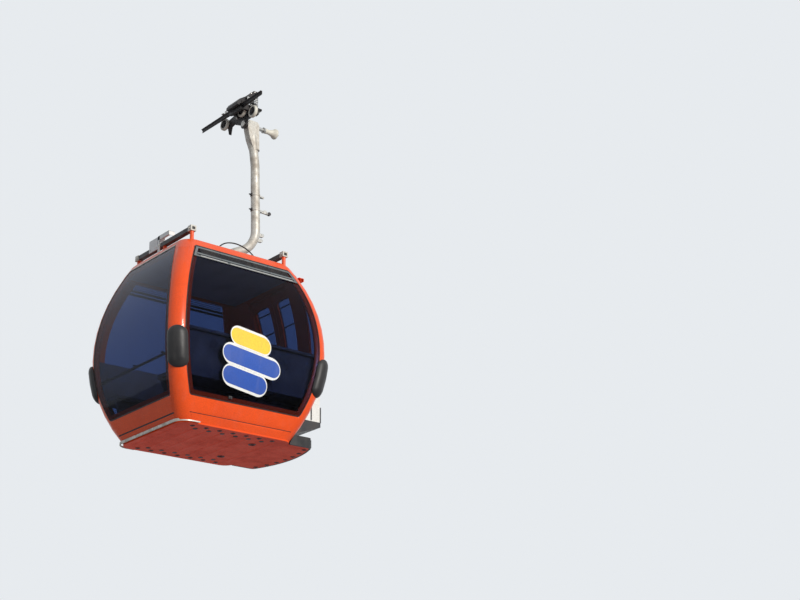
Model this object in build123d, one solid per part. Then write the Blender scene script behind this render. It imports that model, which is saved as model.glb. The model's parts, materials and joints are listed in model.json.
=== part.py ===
"""Gondola cabin of a cableway: a bulged, glazed cabin that hangs from its rope grip by one bent tube.

Millimetres. The origin is the axis of the rope in the middle of the grip's jaws, +X is the way the cabin
travels, +Y is the side with the doors and +Z is up. The cabin itself is drawn about its own centre, with z = 0
at the lower edge of the windows, and CABIN_PLACE then moves it down below the grip. Every piece is a solid of
its own.
"""
from build123d import *
from functools import lru_cache
from math import sqrt
import os

# Where the cabin hangs, from the rope's axis
CABIN_Y = -300.0
WINDOW_FOOT_BELOW_ROPE = 4200.0
CABIN_PLACE = Pos(0, CABIN_Y, -WINDOW_FOOT_BELOW_ROPE)

# Outer form: arcs in both upright planes, rounded corners, a crowned roof with a rounded edge
HALF_LENGTH = 957.0
END_RADIUS = 2100.0
HALF_WIDTH = 1068.0
SIDE_RADIUS_LOW = 1950.0
SIDE_RADIUS_HIGH = 2350.0
BULGE_Z = 790.0
CORNER_RADIUS = 143.0
CORNER_STEP = 1.0
CORNER_BANDS = 12
SKIRT_FOOT_Z = -255.0
ROOF_TOP_Z = 1995.0
ROOF_FLAT_Z = 1985.0
ROOF_FLAT_CORNER = 110.0
ROOF_CROWN_RADIUS = 5300.0
ROOF_EDGE_RADIUS = 70.0
REACH = 1500.0
SPARE = 10.0

# Walls, windows and doorway
WALL = 45.0
PANE = 8.0
FRAME_LAP = 55.0
WINDOW_INSET = CORNER_RADIUS + 3.0
WINDOW_HEAD_Z = 1840.0
WINDOW_CORNER = 30.0
SPLIT_Z = WINDOW_HEAD_Z - FRAME_LAP
DOOR_HALF = 395.0
JAMB_HALF = 560.0
FLOOR_TOP_Z = -170.0
CEILING = 12.0
CEILING_TOP_Z = 1815.0
GROOVE_Z = -172.0
GROOVE = 7.0

# Underside: a perforated pan, and the step outside the doors with the same holes in a row
PAN_DEPTH = 22.0
PAN_SHEET = 4.0
PAN_RIM = 14.0
PAN_INSET = 2.0
HOLE_RADIUS = 13.0
BIG_HOLE_RADIUS = 26.0
HOLE_ROW_X = 585.0
HOLE_ROW_Y = (-560.0, -380.0, -200.0, -20.0, 160.0, 340.0, 520.0)
BIG_HOLE = (325.0, 420.0)
SEAT_GAP = 0.3
SILL_HALF_LENGTH = 600.0
SILL_ROOT_Y = 500.0
SILL_REACH_Y = 1200.0
SILL_ARC_RADIUS = 1410.0
SILL_CORNER = 60.0
SILL_TOP_Z = -152.0
SILL_EDGE = 22.0
SILL_HOLE_PITCH = 165.0
SILL_HOLE_INSET = 70.0
TREAD = 5.0

# Doors: two leaves that slide along the outside of the wall, hung in a track
LEAF_GAP = 8.0
LEAF = 32.0
LEAF_START_X = 3.0
LEAF_END_X = 445.0
LEAF_FOOT_Z = -128.0
LEAF_HEAD_Z = 1752.0
LEAF_STILE = 82.0
LEAF_RAIL = 150.0
LEAF_CORNER = 45.0
LEAF_PANE = 6.0
TRACK_HALF_LENGTH = 655.0
TRACK_WIDTH = 46.0
TRACK_HEIGHT = 40.0
TRACK_SHEET = 5.0
TRACK_RISE = 14.0
TRACK_SLOT = 18.0
RUNNER_PLAY = 0.5
RUNNER_X = (70.0, 210.0)
RUNNER_LENGTH = 50.0
RUNNER_WEB = 8.0
RUNNER_ROOT = 25.0

# Ski rack on each leaf: a sheet tray that narrows downwards, white dividers, two resting bars
RACK_INSET = 16.0
RACK_ROOT_Y = 700.0
RACK_REACH_Y = 1335.0
RACK_FOOT_Z = -75.0
RACK_HIP_Z = 60.0
RACK_TOP_Z = 120.0
RACK_FOOT_Y = 955.0
RACK_SHEET = 6.0
KEEPER = 8.0
KEEPER_LOW_Z, KEEPER_HIGH_Z = 270.0, 310.0
DIVIDER = 10.0
DIVIDER_TOP_Z = 490.0
DIVIDER_CORNER = 40.0
SKI_SLOT_Y = (1190.0, 1212.0)
SKI_SLOT_Z = (130.0, 430.0)
BAR_RADIUS = 9.0
BAR_HEIGHTS = (1380.0, 1615.0)
BAR_STANDOFF = 30.0

# Outside fittings
BUMPER_LOW_Z, BUMPER_HIGH_Z = 255.0, 715.0
BUMPER_WIDTH = 225.0
BUMPER_DEPTH = 48.0
RAIL_Y = 654.0
RAIL_Z = 2076.0
RAIL_HALF_LENGTH = 620.0
RAIL_FOOT_X = 588.0
RAIL_FOOT_RADIUS = 24.0
RAIL_WIDTH, RAIL_DEPTH, RAIL_WALL = 60.0, 52.0, 5.0
CAP_LENGTH = 70.0
CAP_SHEET = 7.0
VENT_LOW_Z, VENT_HIGH_Z = 1665.0, 1822.0
VENT_PROUD = 9.0
VENT_FRAME = 28.0
VENT_RAIL = 24.0
VENT_SLOT = 14.0
GUIDE_BAR_WIDTH, GUIDE_BAR_HEIGHT = 14.0, 30.0
GUIDE_BAR_GAP = 12.0
GUIDE_BAR_END_Y = -540.0
GUIDE_BAR_BRACKETS = (-480.0, 0.0, 480.0)

# Inside
BENCH_TOP_Z = 270.0
BENCH_FRONT_X = 430.0
BENCH_SHEET = 30.0
BENCH_BACK_Z = 760.0
BENCH_REAR_X = 790.0
BENCH_LEAN = 45.0
BENCH_NOSE = 45.0
BENCH_FALL = 15.0
BENCH_LEG = 40.0
BENCH_LEG_INSET = 50.0
HAND_RAIL_Z = 490.0
HAND_RAIL_RADIUS = 15.0
HAND_RAIL_GAP = 55.0

# Hanger, in the cabin's frame but for the pivot
TUBE_RADIUS = 57.0
TUBE_START_Y, TUBE_START_Z = -30.0, 2092.0
TUBE_KNEE_Y = 96.0
TUBE_BEND_Y, TUBE_BEND_Z = 642.0, 2384.0
TUBE_LEAN_Y, TUBE_LEAN_Z = 614.0, 3480.0
TUBE_TOP_Y, TUBE_TOP_Z = 560.0, 3880.0
TUBE_BENDS = [330.0, 350.0, 900.0]
FOOT_HALF_X, FOOT_HALF_Y = 110.0, 140.0
FOOT_PLATE = 27.0
SADDLE_HALF_X = 66.0
SADDLE_LOW_Y, SADDLE_HIGH_Y = -24.0, 104.0
HEAD_HALF_X = 50.0
# y and z round the head: up its straight outer side, over the top and down the flared inner side
HEAD_OUTLINE = ((640.0, 3690.0), (632.0, 4050.0), (604.0, 4078.0), (482.0, 4078.0), (460.0, 4052.0),
                (464.0, 3960.0), (494.0, 3830.0), (552.0, 3690.0))
PIVOT_Z = -178.0
PIN_RADIUS = 25.0
PIN_PLAY = 0.05
PIN_START_Y, PIN_END_Y = 412.0, 740.0
PIN_HEAD_RADIUS = 40.0
PIN_HEAD = 14.0
SPOOL_PIN_RADIUS = 15.0
SPOOL_START_Y, SPOOL_END_Y = 752.0, 926.0
SPOOL_RADIUS = 34.0
SPOOL_FLANGE_RADIUS = 68.0
SPOOL_FLANGE = 24.0
SPOOL_FLARE = 110.0
SPOOL_SIDES = 32
SPOOL_WASHER_RADIUS = 28.0
SPOOL_WASHER = 12.0
BAND_WIDTH = 24.0
BAND_SHEET = 5.0
# height of each band on the straight run of the tube, and how far its bolt stands out from it
TUBE_BANDS = ((3070.0, 70.0), (2867.0, 150.0))
# height of each lug on the tube's bend, and where it ends
TUBE_LUGS = ((2547.0, 744.0), (2474.0, 726.0))
BOLT_RADIUS = 11.0

# Grip, in the rope's frame
ROPE_RADIUS = 25.0
JAW_RADIUS = 60.0
JAW_HALF_LENGTH = 125.0
JAW_WEB = 33.0
TONGUE_FRONT_X, TONGUE_REAR_X = 540.0, -810.0
TONGUE_ROOT, TONGUE_TIP = 46.0, 31.0
BEAM_HALF_LENGTH = 210.0
BEAM_LOW_Y, BEAM_HIGH_Y = 132.0, 172.0
BEAM_LOW_Z, BEAM_HIGH_Z = -58.0, 46.0
BEAM_CORNER = 24.0
WHEEL_RADIUS = 80.0
WHEEL_LOW_Y, WHEEL_HIGH_Y = 84.0, 124.0
# x and z of each wheel's axle
WHEELS = {"rear": (-400.0, -36.0), "middle": (-7.0, -1.0), "front": (240.0, -109.0)}
# x and z round the arms that carry the outer wheels, and round the plate that carries the pivot
FRONT_ARM = ((150.0, 40.0), (150.0, -58.0), (215.0, -150.0), (262.0, -146.0), (278.0, -88.0), (205.0, 30.0))
REAR_ARM = ((-180.0, 40.0), (-180.0, -58.0), (-318.0, -84.0), (-345.0, -192.0), (-372.0, -88.0),
            (-436.0, -62.0), (-436.0, -8.0), (-396.0, 6.0))
EAR_PLATE = ((58.0, -50.0), (58.0, -178.0), (-58.0, -178.0), (-210.0, -104.0), (-210.0, -50.0))
AXLE_RADIUS = 14.0
AXLE_HEAD_RADIUS = 22.0
AXLE_PLAY = 0.05
EAR_RADIUS = 58.0
EAR_HIGH_Y = 154.0
LEVER_PIVOT_Y, LEVER_PIVOT_Z = 85.0, 108.0
LEVER_PIN_RADIUS = 12.0
LEVER_EAR_X = 131.0
LEVER_EAR = 24.0
SPRING_X, SPRING_Y = 92.0, 245.0
SPRING_FOOT_Z, SPRING_HEAD_Z = 12.0, 236.0
SPRING_RADIUS = 30.0
SPRING_CORE_RADIUS = 23.0
SPRING_SEAT = 14.0
SHELF_END_Y = 290.0
SHELF_LOW_Z = -14.0
SHELF_HALF_LENGTH = 165.0

parts = {}


def box(x0, x1, y0, y1, z0, z1):
    """A box between two corners."""
    return Pos((x0 + x1) / 2, (y0 + y1) / 2, (z0 + z1) / 2) * Box(x1 - x0, y1 - y0, z1 - z0)


def rod(start, end, radius):
    """A round bar between two points."""
    run = Vector(end) - Vector(start)
    return extrude(Plane(origin=start, z_dir=run) * Circle(radius), run.length)


def with_planes(solid):
    """The same solid, with each ruled face that is flat made a plane, which needs far fewer facets."""
    return Solid(Shell([Face(f.outer_wire()) if f.is_planar else f for f in solid.faces()]))


def many_sided(plane, radius, length, sides=12):
    """A bar of many flat sides, which stands for a small round one with few facets."""
    return extrude(plane * RegularPolygon(radius, sides), length)


def plate_yz(points, x0, x1):
    """A plate of one outline in the upright cross plane, from x0 to x1."""
    return Pos(x0, 0, 0) * extrude(Plane.YZ * make_face(Polyline(*points, close=True)), x1 - x0)


def band(z_low, z_high):
    """All that lies between two heights."""
    return box(-REACH, REACH, -REACH, REACH, z_low, z_high)


def half_at(z, peak, radius):
    """Half the cabin's size at height z, on a wall arc that is widest at the bulge."""
    return peak - radius + sqrt(radius ** 2 - (z - BULGE_Z) ** 2)


def half_length_at(z, inset=0.0):
    return half_at(z, HALF_LENGTH - inset, END_RADIUS - inset)


def half_width_at(z, inset=0.0):
    radius = SIDE_RADIUS_LOW if z < BULGE_Z else SIDE_RADIUS_HIGH
    return half_at(z, HALF_WIDTH - inset, radius - inset)


def barrel_outline(half, z_low, z_high):
    """The closed outline between two mirrored arcs, from z_low to z_high."""
    cuts = [z_low] + ([BULGE_Z] if z_low < BULGE_Z < z_high else []) + [z_high]
    edges = [Line((-half(z), z), (half(z), z)) for z in (z_low, z_high)]
    for a, b in zip(cuts, cuts[1:]):
        m = (a + b) / 2
        edges += [ThreePointArc((s * half(a), a), (s * half(m), m), (s * half(b), b)) for s in (1, -1)]
    return make_face(edges)


def end_tunnel(inset, z_low, z_high):
    """The cabin's length profile, drawn right through it from side to side."""
    face = barrel_outline(lambda z: half_length_at(z, inset), z_low, z_high)
    return extrude(Plane.XZ * face, amount=REACH, both=True)


def side_tunnel(inset, z_low, z_high):
    """The cabin's width profile, drawn right through it from end to end."""
    face = barrel_outline(lambda z: half_width_at(z, inset), z_low, z_high)
    return extrude(Plane.YZ * face, amount=REACH, both=True)


def layer(tunnel, inset, thickness, z_low, z_high):
    """A curved sheet that follows one profile, from inset to inset + thickness."""
    return tunnel(inset, z_low, z_high) - tunnel(inset + thickness, z_low, z_high)


def corner_waste(z_low, z_high):
    """What rounds the corner at +X +Y: the stack of ruled bands outside the corner's arc."""
    radius = CORNER_RADIUS
    sections = []
    for i in range(CORNER_BANDS + 1):
        z = z_low + i * (z_high - z_low) / CORNER_BANDS
        x, y = half_length_at(z) - CORNER_STEP - radius, half_width_at(z) - CORNER_STEP - radius
        start, end, far, middle = (x + radius, y), (x, y + radius), 3 * radius, radius * sqrt(0.5)
        edges = [ThreePointArc(start, (x + middle, y + middle), end), Line(end, (x, y + far)),
                 Line((x, y + far), (x + far, y + far)), Line((x + far, y + far), (x + far, y)),
                 Line((x + far, y), start)]
        sections.append(Pos(0, 0, z) * make_face(edges))
    return loft(sections, ruled=True)


@lru_cache(maxsize=None)
def wall_block():
    """The cabin's outer form between the foot of the skirt and the roof, with its corners rounded."""
    block = side_tunnel(0, SKIRT_FOOT_Z, SPLIT_Z) & end_tunnel(0, SKIRT_FOOT_Z, SPLIT_Z)
    front = corner_waste(SKIRT_FOOT_Z, SPLIT_Z)
    rear = mirror(front, Plane.YZ)
    for waste in (front, rear, mirror(front, Plane.XZ), mirror(rear, Plane.XZ)):
        block = block - waste
    return block


@lru_cache(maxsize=None)
def room_block():
    """The space inside the walls."""
    return side_tunnel(WALL, SKIRT_FOOT_Z, CEILING_TOP_Z) & end_tunnel(WALL, SKIRT_FOOT_Z, CEILING_TOP_Z)


@lru_cache(maxsize=None)
def edge_arc(peak, radius):
    """Centre of the roof's edge arc, which touches the wall's arc and the crown's, and where it does."""
    wall = Vector(peak - radius, BULGE_Z)
    crown = Vector(0, ROOF_TOP_Z - ROOF_CROWN_RADIUS)
    to_wall, to_crown = radius - ROOF_EDGE_RADIUS, ROOF_CROWN_RADIUS - ROOF_EDGE_RADIUS
    run = crown - wall
    along = (to_wall ** 2 - to_crown ** 2 + run.length ** 2) / (2 * run.length)
    across = sqrt(to_wall ** 2 - along ** 2)
    way = run.normalized()
    centre = wall + way * along + Vector(-way.Y, way.X) * across
    start = wall.Y + (centre.Y - wall.Y) * radius / to_wall
    end = crown.Y + (centre.Y - crown.Y) * ROOF_CROWN_RADIUS / to_crown
    return centre, start, end


def crown_half(z):
    """Half the crown's width at height z."""
    return sqrt(ROOF_CROWN_RADIUS ** 2 - (z - ROOF_TOP_Z + ROOF_CROWN_RADIUS) ** 2)


def roof_half(z, peak, radius):
    """Half the roof's size at height z: on the wall's arc, on the edge's arc or on the crown."""
    centre, start, end = edge_arc(peak, radius)
    if z < start:
        return half_at(z, peak, radius)
    if z < end:
        return centre.X + sqrt(ROOF_EDGE_RADIUS ** 2 - (z - centre.Y) ** 2)
    return crown_half(z)


def roof_outline(z):
    """The roof's level outline at height z."""
    half_x = roof_half(z, HALF_LENGTH, END_RADIUS)
    half_y = roof_half(z, HALF_WIDTH, SIDE_RADIUS_HIGH)
    corner = CORNER_RADIUS if z < ROOF_FLAT_Z else ROOF_FLAT_CORNER
    return Pos(0, 0, z) * RectangleRounded(2 * half_x, 2 * half_y, corner)


@lru_cache(maxsize=None)
def roof_block():
    """The roof's outer form: ruled bands between the heights where its arcs meet."""
    marks = [edge_arc(HALF_LENGTH, END_RADIUS)[1:], edge_arc(HALF_WIDTH, SIDE_RADIUS_HIGH)[1:]]
    bends = sorted(z for pair in marks for z in pair)
    levels = sorted([SPLIT_Z, *bends, (bends[0] + bends[-1]) / 2, ROOF_FLAT_Z])
    block = loft([roof_outline(z) for z in levels], ruled=True)
    return with_planes(block)


def window_zone(tunnel, inset, low, high, region, corner):
    """The prism that cuts one window: a barrel outline with rounded corners, on one side of the cabin."""
    axis = Axis.X if tunnel is side_tunnel else Axis.Y
    block = tunnel(inset, low, high)
    rims = [e for e in block.edges().filter_by(axis) if abs((e @ 0).Z - BULGE_Z) > 1]
    return fillet(rims, corner) & region


FRONT = box(200, REACH, -REACH, REACH, -600, 2100)
REAR = mirror(FRONT, Plane.YZ)
LEFT = box(-REACH, REACH, -REACH, -200, -600, 2100)
RIGHT = mirror(LEFT, Plane.XZ)


def both_ends(solid):
    """A solid and its mirror image at the other end of the cabin."""
    return solid + mirror(solid, Plane.YZ)


def make_body_shell():
    """Posts, skirts, door frame, roof and panes, split where the real panels meet."""
    beside_door = RIGHT & both_ends(box(JAMB_HALF, REACH, 0, REACH, -600, 2100))
    clear_beside_door = RIGHT & both_ends(box(JAMB_HALF + FRAME_LAP, REACH, 0, REACH, -600, 2100))
    # node, the profile it lies in, the profile that bounds it, its place, the clear place behind it
    windows = [
        ("window_front", end_tunnel, side_tunnel, FRONT, FRONT),
        ("window_rear", end_tunnel, side_tunnel, REAR, REAR),
        ("window_left", side_tunnel, end_tunnel, LEFT, LEFT),
        ("panes_door_side", side_tunnel, end_tunnel, beside_door, clear_beside_door),
    ]
    roof = roof_block() - room_block()
    posts = wall_block() - room_block()
    cuts = [box(-DOOR_HALF, DOOR_HALF, 200, REACH, FLOOR_TOP_Z, SPLIT_Z)]
    for node, face, bound, region, clear_region in windows:
        rebate = window_zone(bound, WINDOW_INSET, 0, WINDOW_HEAD_Z, region, WINDOW_CORNER)
        rebate = rebate - face(PANE, -SPARE, WINDOW_HEAD_Z + SPARE)
        parts[node] = rebate & face(0, -SPARE, WINDOW_HEAD_Z + SPARE)
        clear = window_zone(bound, CORNER_RADIUS + FRAME_LAP, FRAME_LAP, SPLIT_Z, clear_region, WINDOW_CORNER)
        cuts += [rebate, clear]
        posts = posts - rebate - clear
        roof = roof - rebate
    parts["roof_shell"] = roof

    jamb_x = JAMB_HALF + FRAME_LAP
    jambs = box(-jamb_x, jamb_x, 0, REACH, SKIRT_FOOT_Z - SPARE, SPLIT_Z + SPARE)
    below = band(SKIRT_FOOT_Z - SPARE, BULGE_Z)
    inset = CORNER_RADIUS + FRAME_LAP
    # node, the profile it lies in, the profile that bounds it, its place
    skirts = [
        ("skirt_front", end_tunnel, side_tunnel, below & FRONT),
        ("skirt_rear", end_tunnel, side_tunnel, below & REAR),
        ("skirt_left", side_tunnel, end_tunnel, below & LEFT),
        ("door_frame", side_tunnel, end_tunnel, (below + jambs) & RIGHT),
    ]
    for node, face, bound, region in skirts:
        place = bound(inset, SKIRT_FOOT_Z - SPARE, SPLIT_Z + SPARE) & region
        panel = layer(face, 0, WALL, SKIRT_FOOT_Z, SPLIT_Z) & place
        for cut in cuts:
            panel = panel - cut
        parts[node] = panel - layer(face, 0, GROOVE, GROOVE_Z - GROOVE / 2, GROOVE_Z + GROOVE / 2)
        posts = posts - place
    for fore, x in (("front", 1), ("rear", -1)):
        for side, y in (("left", -1), ("right", 1)):
            corner = Pos(x * REACH / 2, y * REACH / 2, 0) * Box(REACH, REACH, 6000)
            parts[f"post_{fore}_{side}"] = posts & corner

    half_x, half_y = half_length_at(CEILING_TOP_Z, WALL), half_width_at(CEILING_TOP_Z, WALL)
    parts["ceiling"] = box(-half_x, half_x, -half_y, half_y, CEILING_TOP_Z - CEILING, CEILING_TOP_Z)


def make_floor():
    """The cabin's floor, the perforated pan below it and the step outside the doors."""
    half_x, half_y = half_length_at(SKIRT_FOOT_Z, WALL), half_width_at(SKIRT_FOOT_Z, WALL)
    parts["floor_board"] = box(-half_x, half_x, -half_y, half_y, SKIRT_FOOT_Z, FLOOR_TOP_Z)

    low = SKIRT_FOOT_Z - PAN_DEPTH
    size = (2 * half_length_at(SKIRT_FOOT_Z, PAN_INSET), 2 * half_width_at(SKIRT_FOOT_Z, PAN_INSET))
    pan = Pos(0, 0, low) * extrude(RectangleRounded(*size, CORNER_RADIUS), PAN_DEPTH)
    pan -= Pos(0, 0, low + PAN_SHEET) * extrude(
        RectangleRounded(size[0] - 2 * PAN_RIM, size[1] - 2 * PAN_RIM, CORNER_RADIUS - PAN_RIM), PAN_DEPTH)
    holes = [(x, y, HOLE_RADIUS) for x in (-HOLE_ROW_X, HOLE_ROW_X) for y in HOLE_ROW_Y]
    holes += [(x, BIG_HOLE[1], BIG_HOLE_RADIUS) for x in (-BIG_HOLE[0], BIG_HOLE[0])]
    for x, y, radius in holes:
        pan -= many_sided(Plane((x, y, low - PAN_SHEET)), radius, 4 * PAN_SHEET)
    parts["floor_pan"] = pan

    wall = side_tunnel(-SEAT_GAP, low - 2, SILL_TOP_Z + 2)
    wall += box(-REACH, REACH, 0, size[1] / 2 + SEAT_GAP, low - 2, SKIRT_FOOT_Z)
    half = SILL_HALF_LENGTH
    end_y = SILL_REACH_Y - half ** 2 / (2 * SILL_ARC_RADIUS)

    def step(inset, z_low, z_high):
        outline = make_face([
            Line((-half, SILL_ROOT_Y), (half, SILL_ROOT_Y)), Line((half, SILL_ROOT_Y), (half, end_y)),
            Line((-half, SILL_ROOT_Y), (-half, end_y)),
            ThreePointArc((half, end_y), (0, SILL_REACH_Y), (-half, end_y))])
        outline = fillet(outline.vertices().sort_by(Axis.Y)[-2:], SILL_CORNER)
        if inset:
            outline = offset(outline, -inset)
        return Pos(0, 0, z_low) * extrude(outline, z_high - z_low) - wall

    parts["sill_edge"] = step(0, low, SILL_TOP_Z) - step(SILL_EDGE, low - 1, SILL_TOP_Z + 1)
    bottom = step(SILL_EDGE, low, low + PAN_SHEET)
    for i in range(-3, 4):
        x = SILL_HOLE_PITCH * i
        y = SILL_REACH_Y - x ** 2 / (2 * SILL_ARC_RADIUS) - SILL_HOLE_INSET
        bottom -= many_sided(Plane((x, y, low - PAN_SHEET)), HOLE_RADIUS, 4 * PAN_SHEET)
    parts["sill_plates"] = bottom + step(SILL_EDGE, SILL_TOP_Z - TREAD, SILL_TOP_Z)


def make_track(track_y, base_z):
    """The channel that the leaves hang in, open at the bottom and bolted along the head of the doorway."""
    half, sheet = TRACK_HALF_LENGTH, TRACK_SHEET
    low_y, high_y, high_z = track_y - TRACK_WIDTH / 2, track_y + TRACK_WIDTH / 2, base_z + TRACK_HEIGHT
    track = box(-half, half, low_y, high_y, base_z, high_z)
    track -= box(-half - 1, half + 1, low_y + sheet, high_y - sheet, base_z + sheet, high_z - sheet)
    slot = TRACK_SLOT / 2
    track -= box(-half - 1, half + 1, track_y - slot, track_y + slot, base_z - 1, base_z + sheet + 1)
    track += box(-half, half, half_width_at(high_z) - WALL, low_y + 1, high_z - sheet, high_z)
    parts["door_track"] = track - side_tunnel(0, base_z - 50, high_z + 1)


def make_doors():
    """Two leaves with their panes, ski racks and resting bars, and the track that they hang in."""
    depth = LEAF_GAP + LEAF
    leaf_layer = layer(side_tunnel, -depth, LEAF, LEAF_FOOT_Z, LEAF_HEAD_Z)
    pane_inset = (LEAF - LEAF_PANE) / 2 - depth
    pane_layer = layer(side_tunnel, pane_inset, LEAF_PANE, LEAF_FOOT_Z, LEAF_HEAD_Z)
    region = box(LEAF_START_X, LEAF_END_X, 200, REACH, LEAF_FOOT_Z, LEAF_HEAD_Z)
    opening = box(LEAF_START_X + LEAF_STILE, LEAF_END_X - LEAF_STILE, 200, REACH,
                  LEAF_FOOT_Z + LEAF_RAIL, LEAF_HEAD_Z - LEAF_STILE)
    opening = fillet(opening.edges().filter_by(Axis.Y), LEAF_CORNER)
    leaf = (leaf_layer & region) - opening
    parts["door_glass_front"] = pane_layer & region & opening

    track_y = half_width_at(LEAF_HEAD_Z) + LEAF_GAP + LEAF / 2
    base_z = LEAF_HEAD_Z + TRACK_RISE
    make_track(track_y, base_z)
    low, high = base_z + TRACK_SHEET + RUNNER_PLAY, base_z + TRACK_HEIGHT - TRACK_SHEET - RUNNER_PLAY
    half = TRACK_WIDTH / 2 - TRACK_SHEET - RUNNER_PLAY
    for x in RUNNER_X:
        x_end, web = x + RUNNER_LENGTH, RUNNER_WEB / 2
        leaf += box(x, x_end, track_y - web, track_y + web, LEAF_HEAD_Z - RUNNER_ROOT, high)
        leaf += box(x, x_end, track_y - half, track_y + half, low, high)
    parts["door_leaf_front"] = leaf

    clear = side_tunnel(-depth, LEAF_FOOT_Z, LEAF_HEAD_Z)
    sheet, reach = RACK_SHEET, RACK_REACH_Y
    start, end = LEAF_START_X + RACK_INSET, LEAF_END_X - RACK_INSET
    root, foot_z, inner = RACK_ROOT_Y, RACK_FOOT_Z, reach - sheet
    tray_points = [(root, foot_z), (RACK_FOOT_Y, foot_z), (reach, RACK_HIP_Z), (reach, RACK_TOP_Z),
                   (root, RACK_TOP_Z)]
    inner_points = [(root - 1, foot_z + sheet), (RACK_FOOT_Y - 2, foot_z + sheet), (inner, RACK_HIP_Z + sheet),
                    (inner, RACK_TOP_Z + 1), (root - 1, RACK_TOP_Z + 1)]
    rack = plate_yz(tray_points, start, end) - plate_yz(inner_points, start + sheet, end - sheet)
    rack += box(start, end, reach, reach + KEEPER, KEEPER_LOW_Z, KEEPER_HIGH_Z)
    for x in (start, end - KEEPER):
        rack += box(x, x + KEEPER, reach - sheet, reach + KEEPER, RACK_TOP_Z - 2, KEEPER_HIGH_Z)
    divider_points = [(root, RACK_HIP_Z), (inner, RACK_HIP_Z + sheet), (inner, DIVIDER_TOP_Z - DIVIDER_CORNER),
                      (inner - DIVIDER_CORNER, DIVIDER_TOP_Z), (root, DIVIDER_TOP_Z)]
    dividers = Part()
    pitch = (end - start - 2 * sheet - DIVIDER) / 3
    for i in range(4):
        x = start + sheet + i * pitch
        slot = box(x - 1, x + DIVIDER + 1, *SKI_SLOT_Y, *SKI_SLOT_Z)
        dividers += plate_yz(divider_points, x, x + DIVIDER) - slot - clear
    for z in BAR_HEIGHTS:
        y = half_width_at(z) + depth + BAR_STANDOFF
        rack += many_sided(Plane(origin=(start, y, z), z_dir=(1, 0, 0)), BAR_RADIUS, end - start)
        for x in (start + 10, end - 20):
            rack += box(x, x + 10, y - BAR_STANDOFF - 20, y, z - 6, z + 6)
    parts["ski_rack_front"] = rack - clear
    parts["ski_dividers_front"] = dividers - parts["ski_rack_front"]
    for node in ("door_leaf", "door_glass", "ski_rack", "ski_dividers"):
        parts[f"{node}_rear"] = mirror(parts[f"{node}_front"], Plane.YZ)


def make_bumpers():
    """A long pad round each corner: the corner's form moved outwards, cut to a slot's outline."""
    centre_z = (BUMPER_LOW_Z + BUMPER_HIGH_Z) / 2
    low = half_length_at(BUMPER_LOW_Z)
    lean = (half_length_at(BUMPER_HIGH_Z) - low) / (BUMPER_HIGH_Z - BUMPER_LOW_Z)
    inwards = (low + half_length_at(BUMPER_HIGH_Z)) / 2 - HALF_LENGTH
    middle = Vector(inwards, inwards, centre_z)
    size = (2 * (HALF_LENGTH + BUMPER_DEPTH), 2 * (HALF_WIDTH + BUMPER_DEPTH))
    tilted = Plane(origin=middle, z_dir=(lean, lean, 1), x_dir=(1, 0, -lean))
    outline = tilted * RectangleRounded(*size, CORNER_RADIUS + BUMPER_DEPTH)
    outer = extrude(outline, BUMPER_HIGH_Z - BUMPER_LOW_Z, both=True)
    centre = (HALF_LENGTH - CORNER_RADIUS, HALF_WIDTH - CORNER_RADIUS, centre_z)
    turn = Plane(origin=centre, z_dir=(1, 1, 0), x_dir=(0, 0, 1))
    prism = extrude(turn * SlotOverall(BUMPER_HIGH_Z - BUMPER_LOW_Z, BUMPER_WIDTH), REACH)
    pad = (outer & prism) - wall_block()
    parts["bumpers"] = both_ends(pad + mirror(pad, Plane.XZ))


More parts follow.
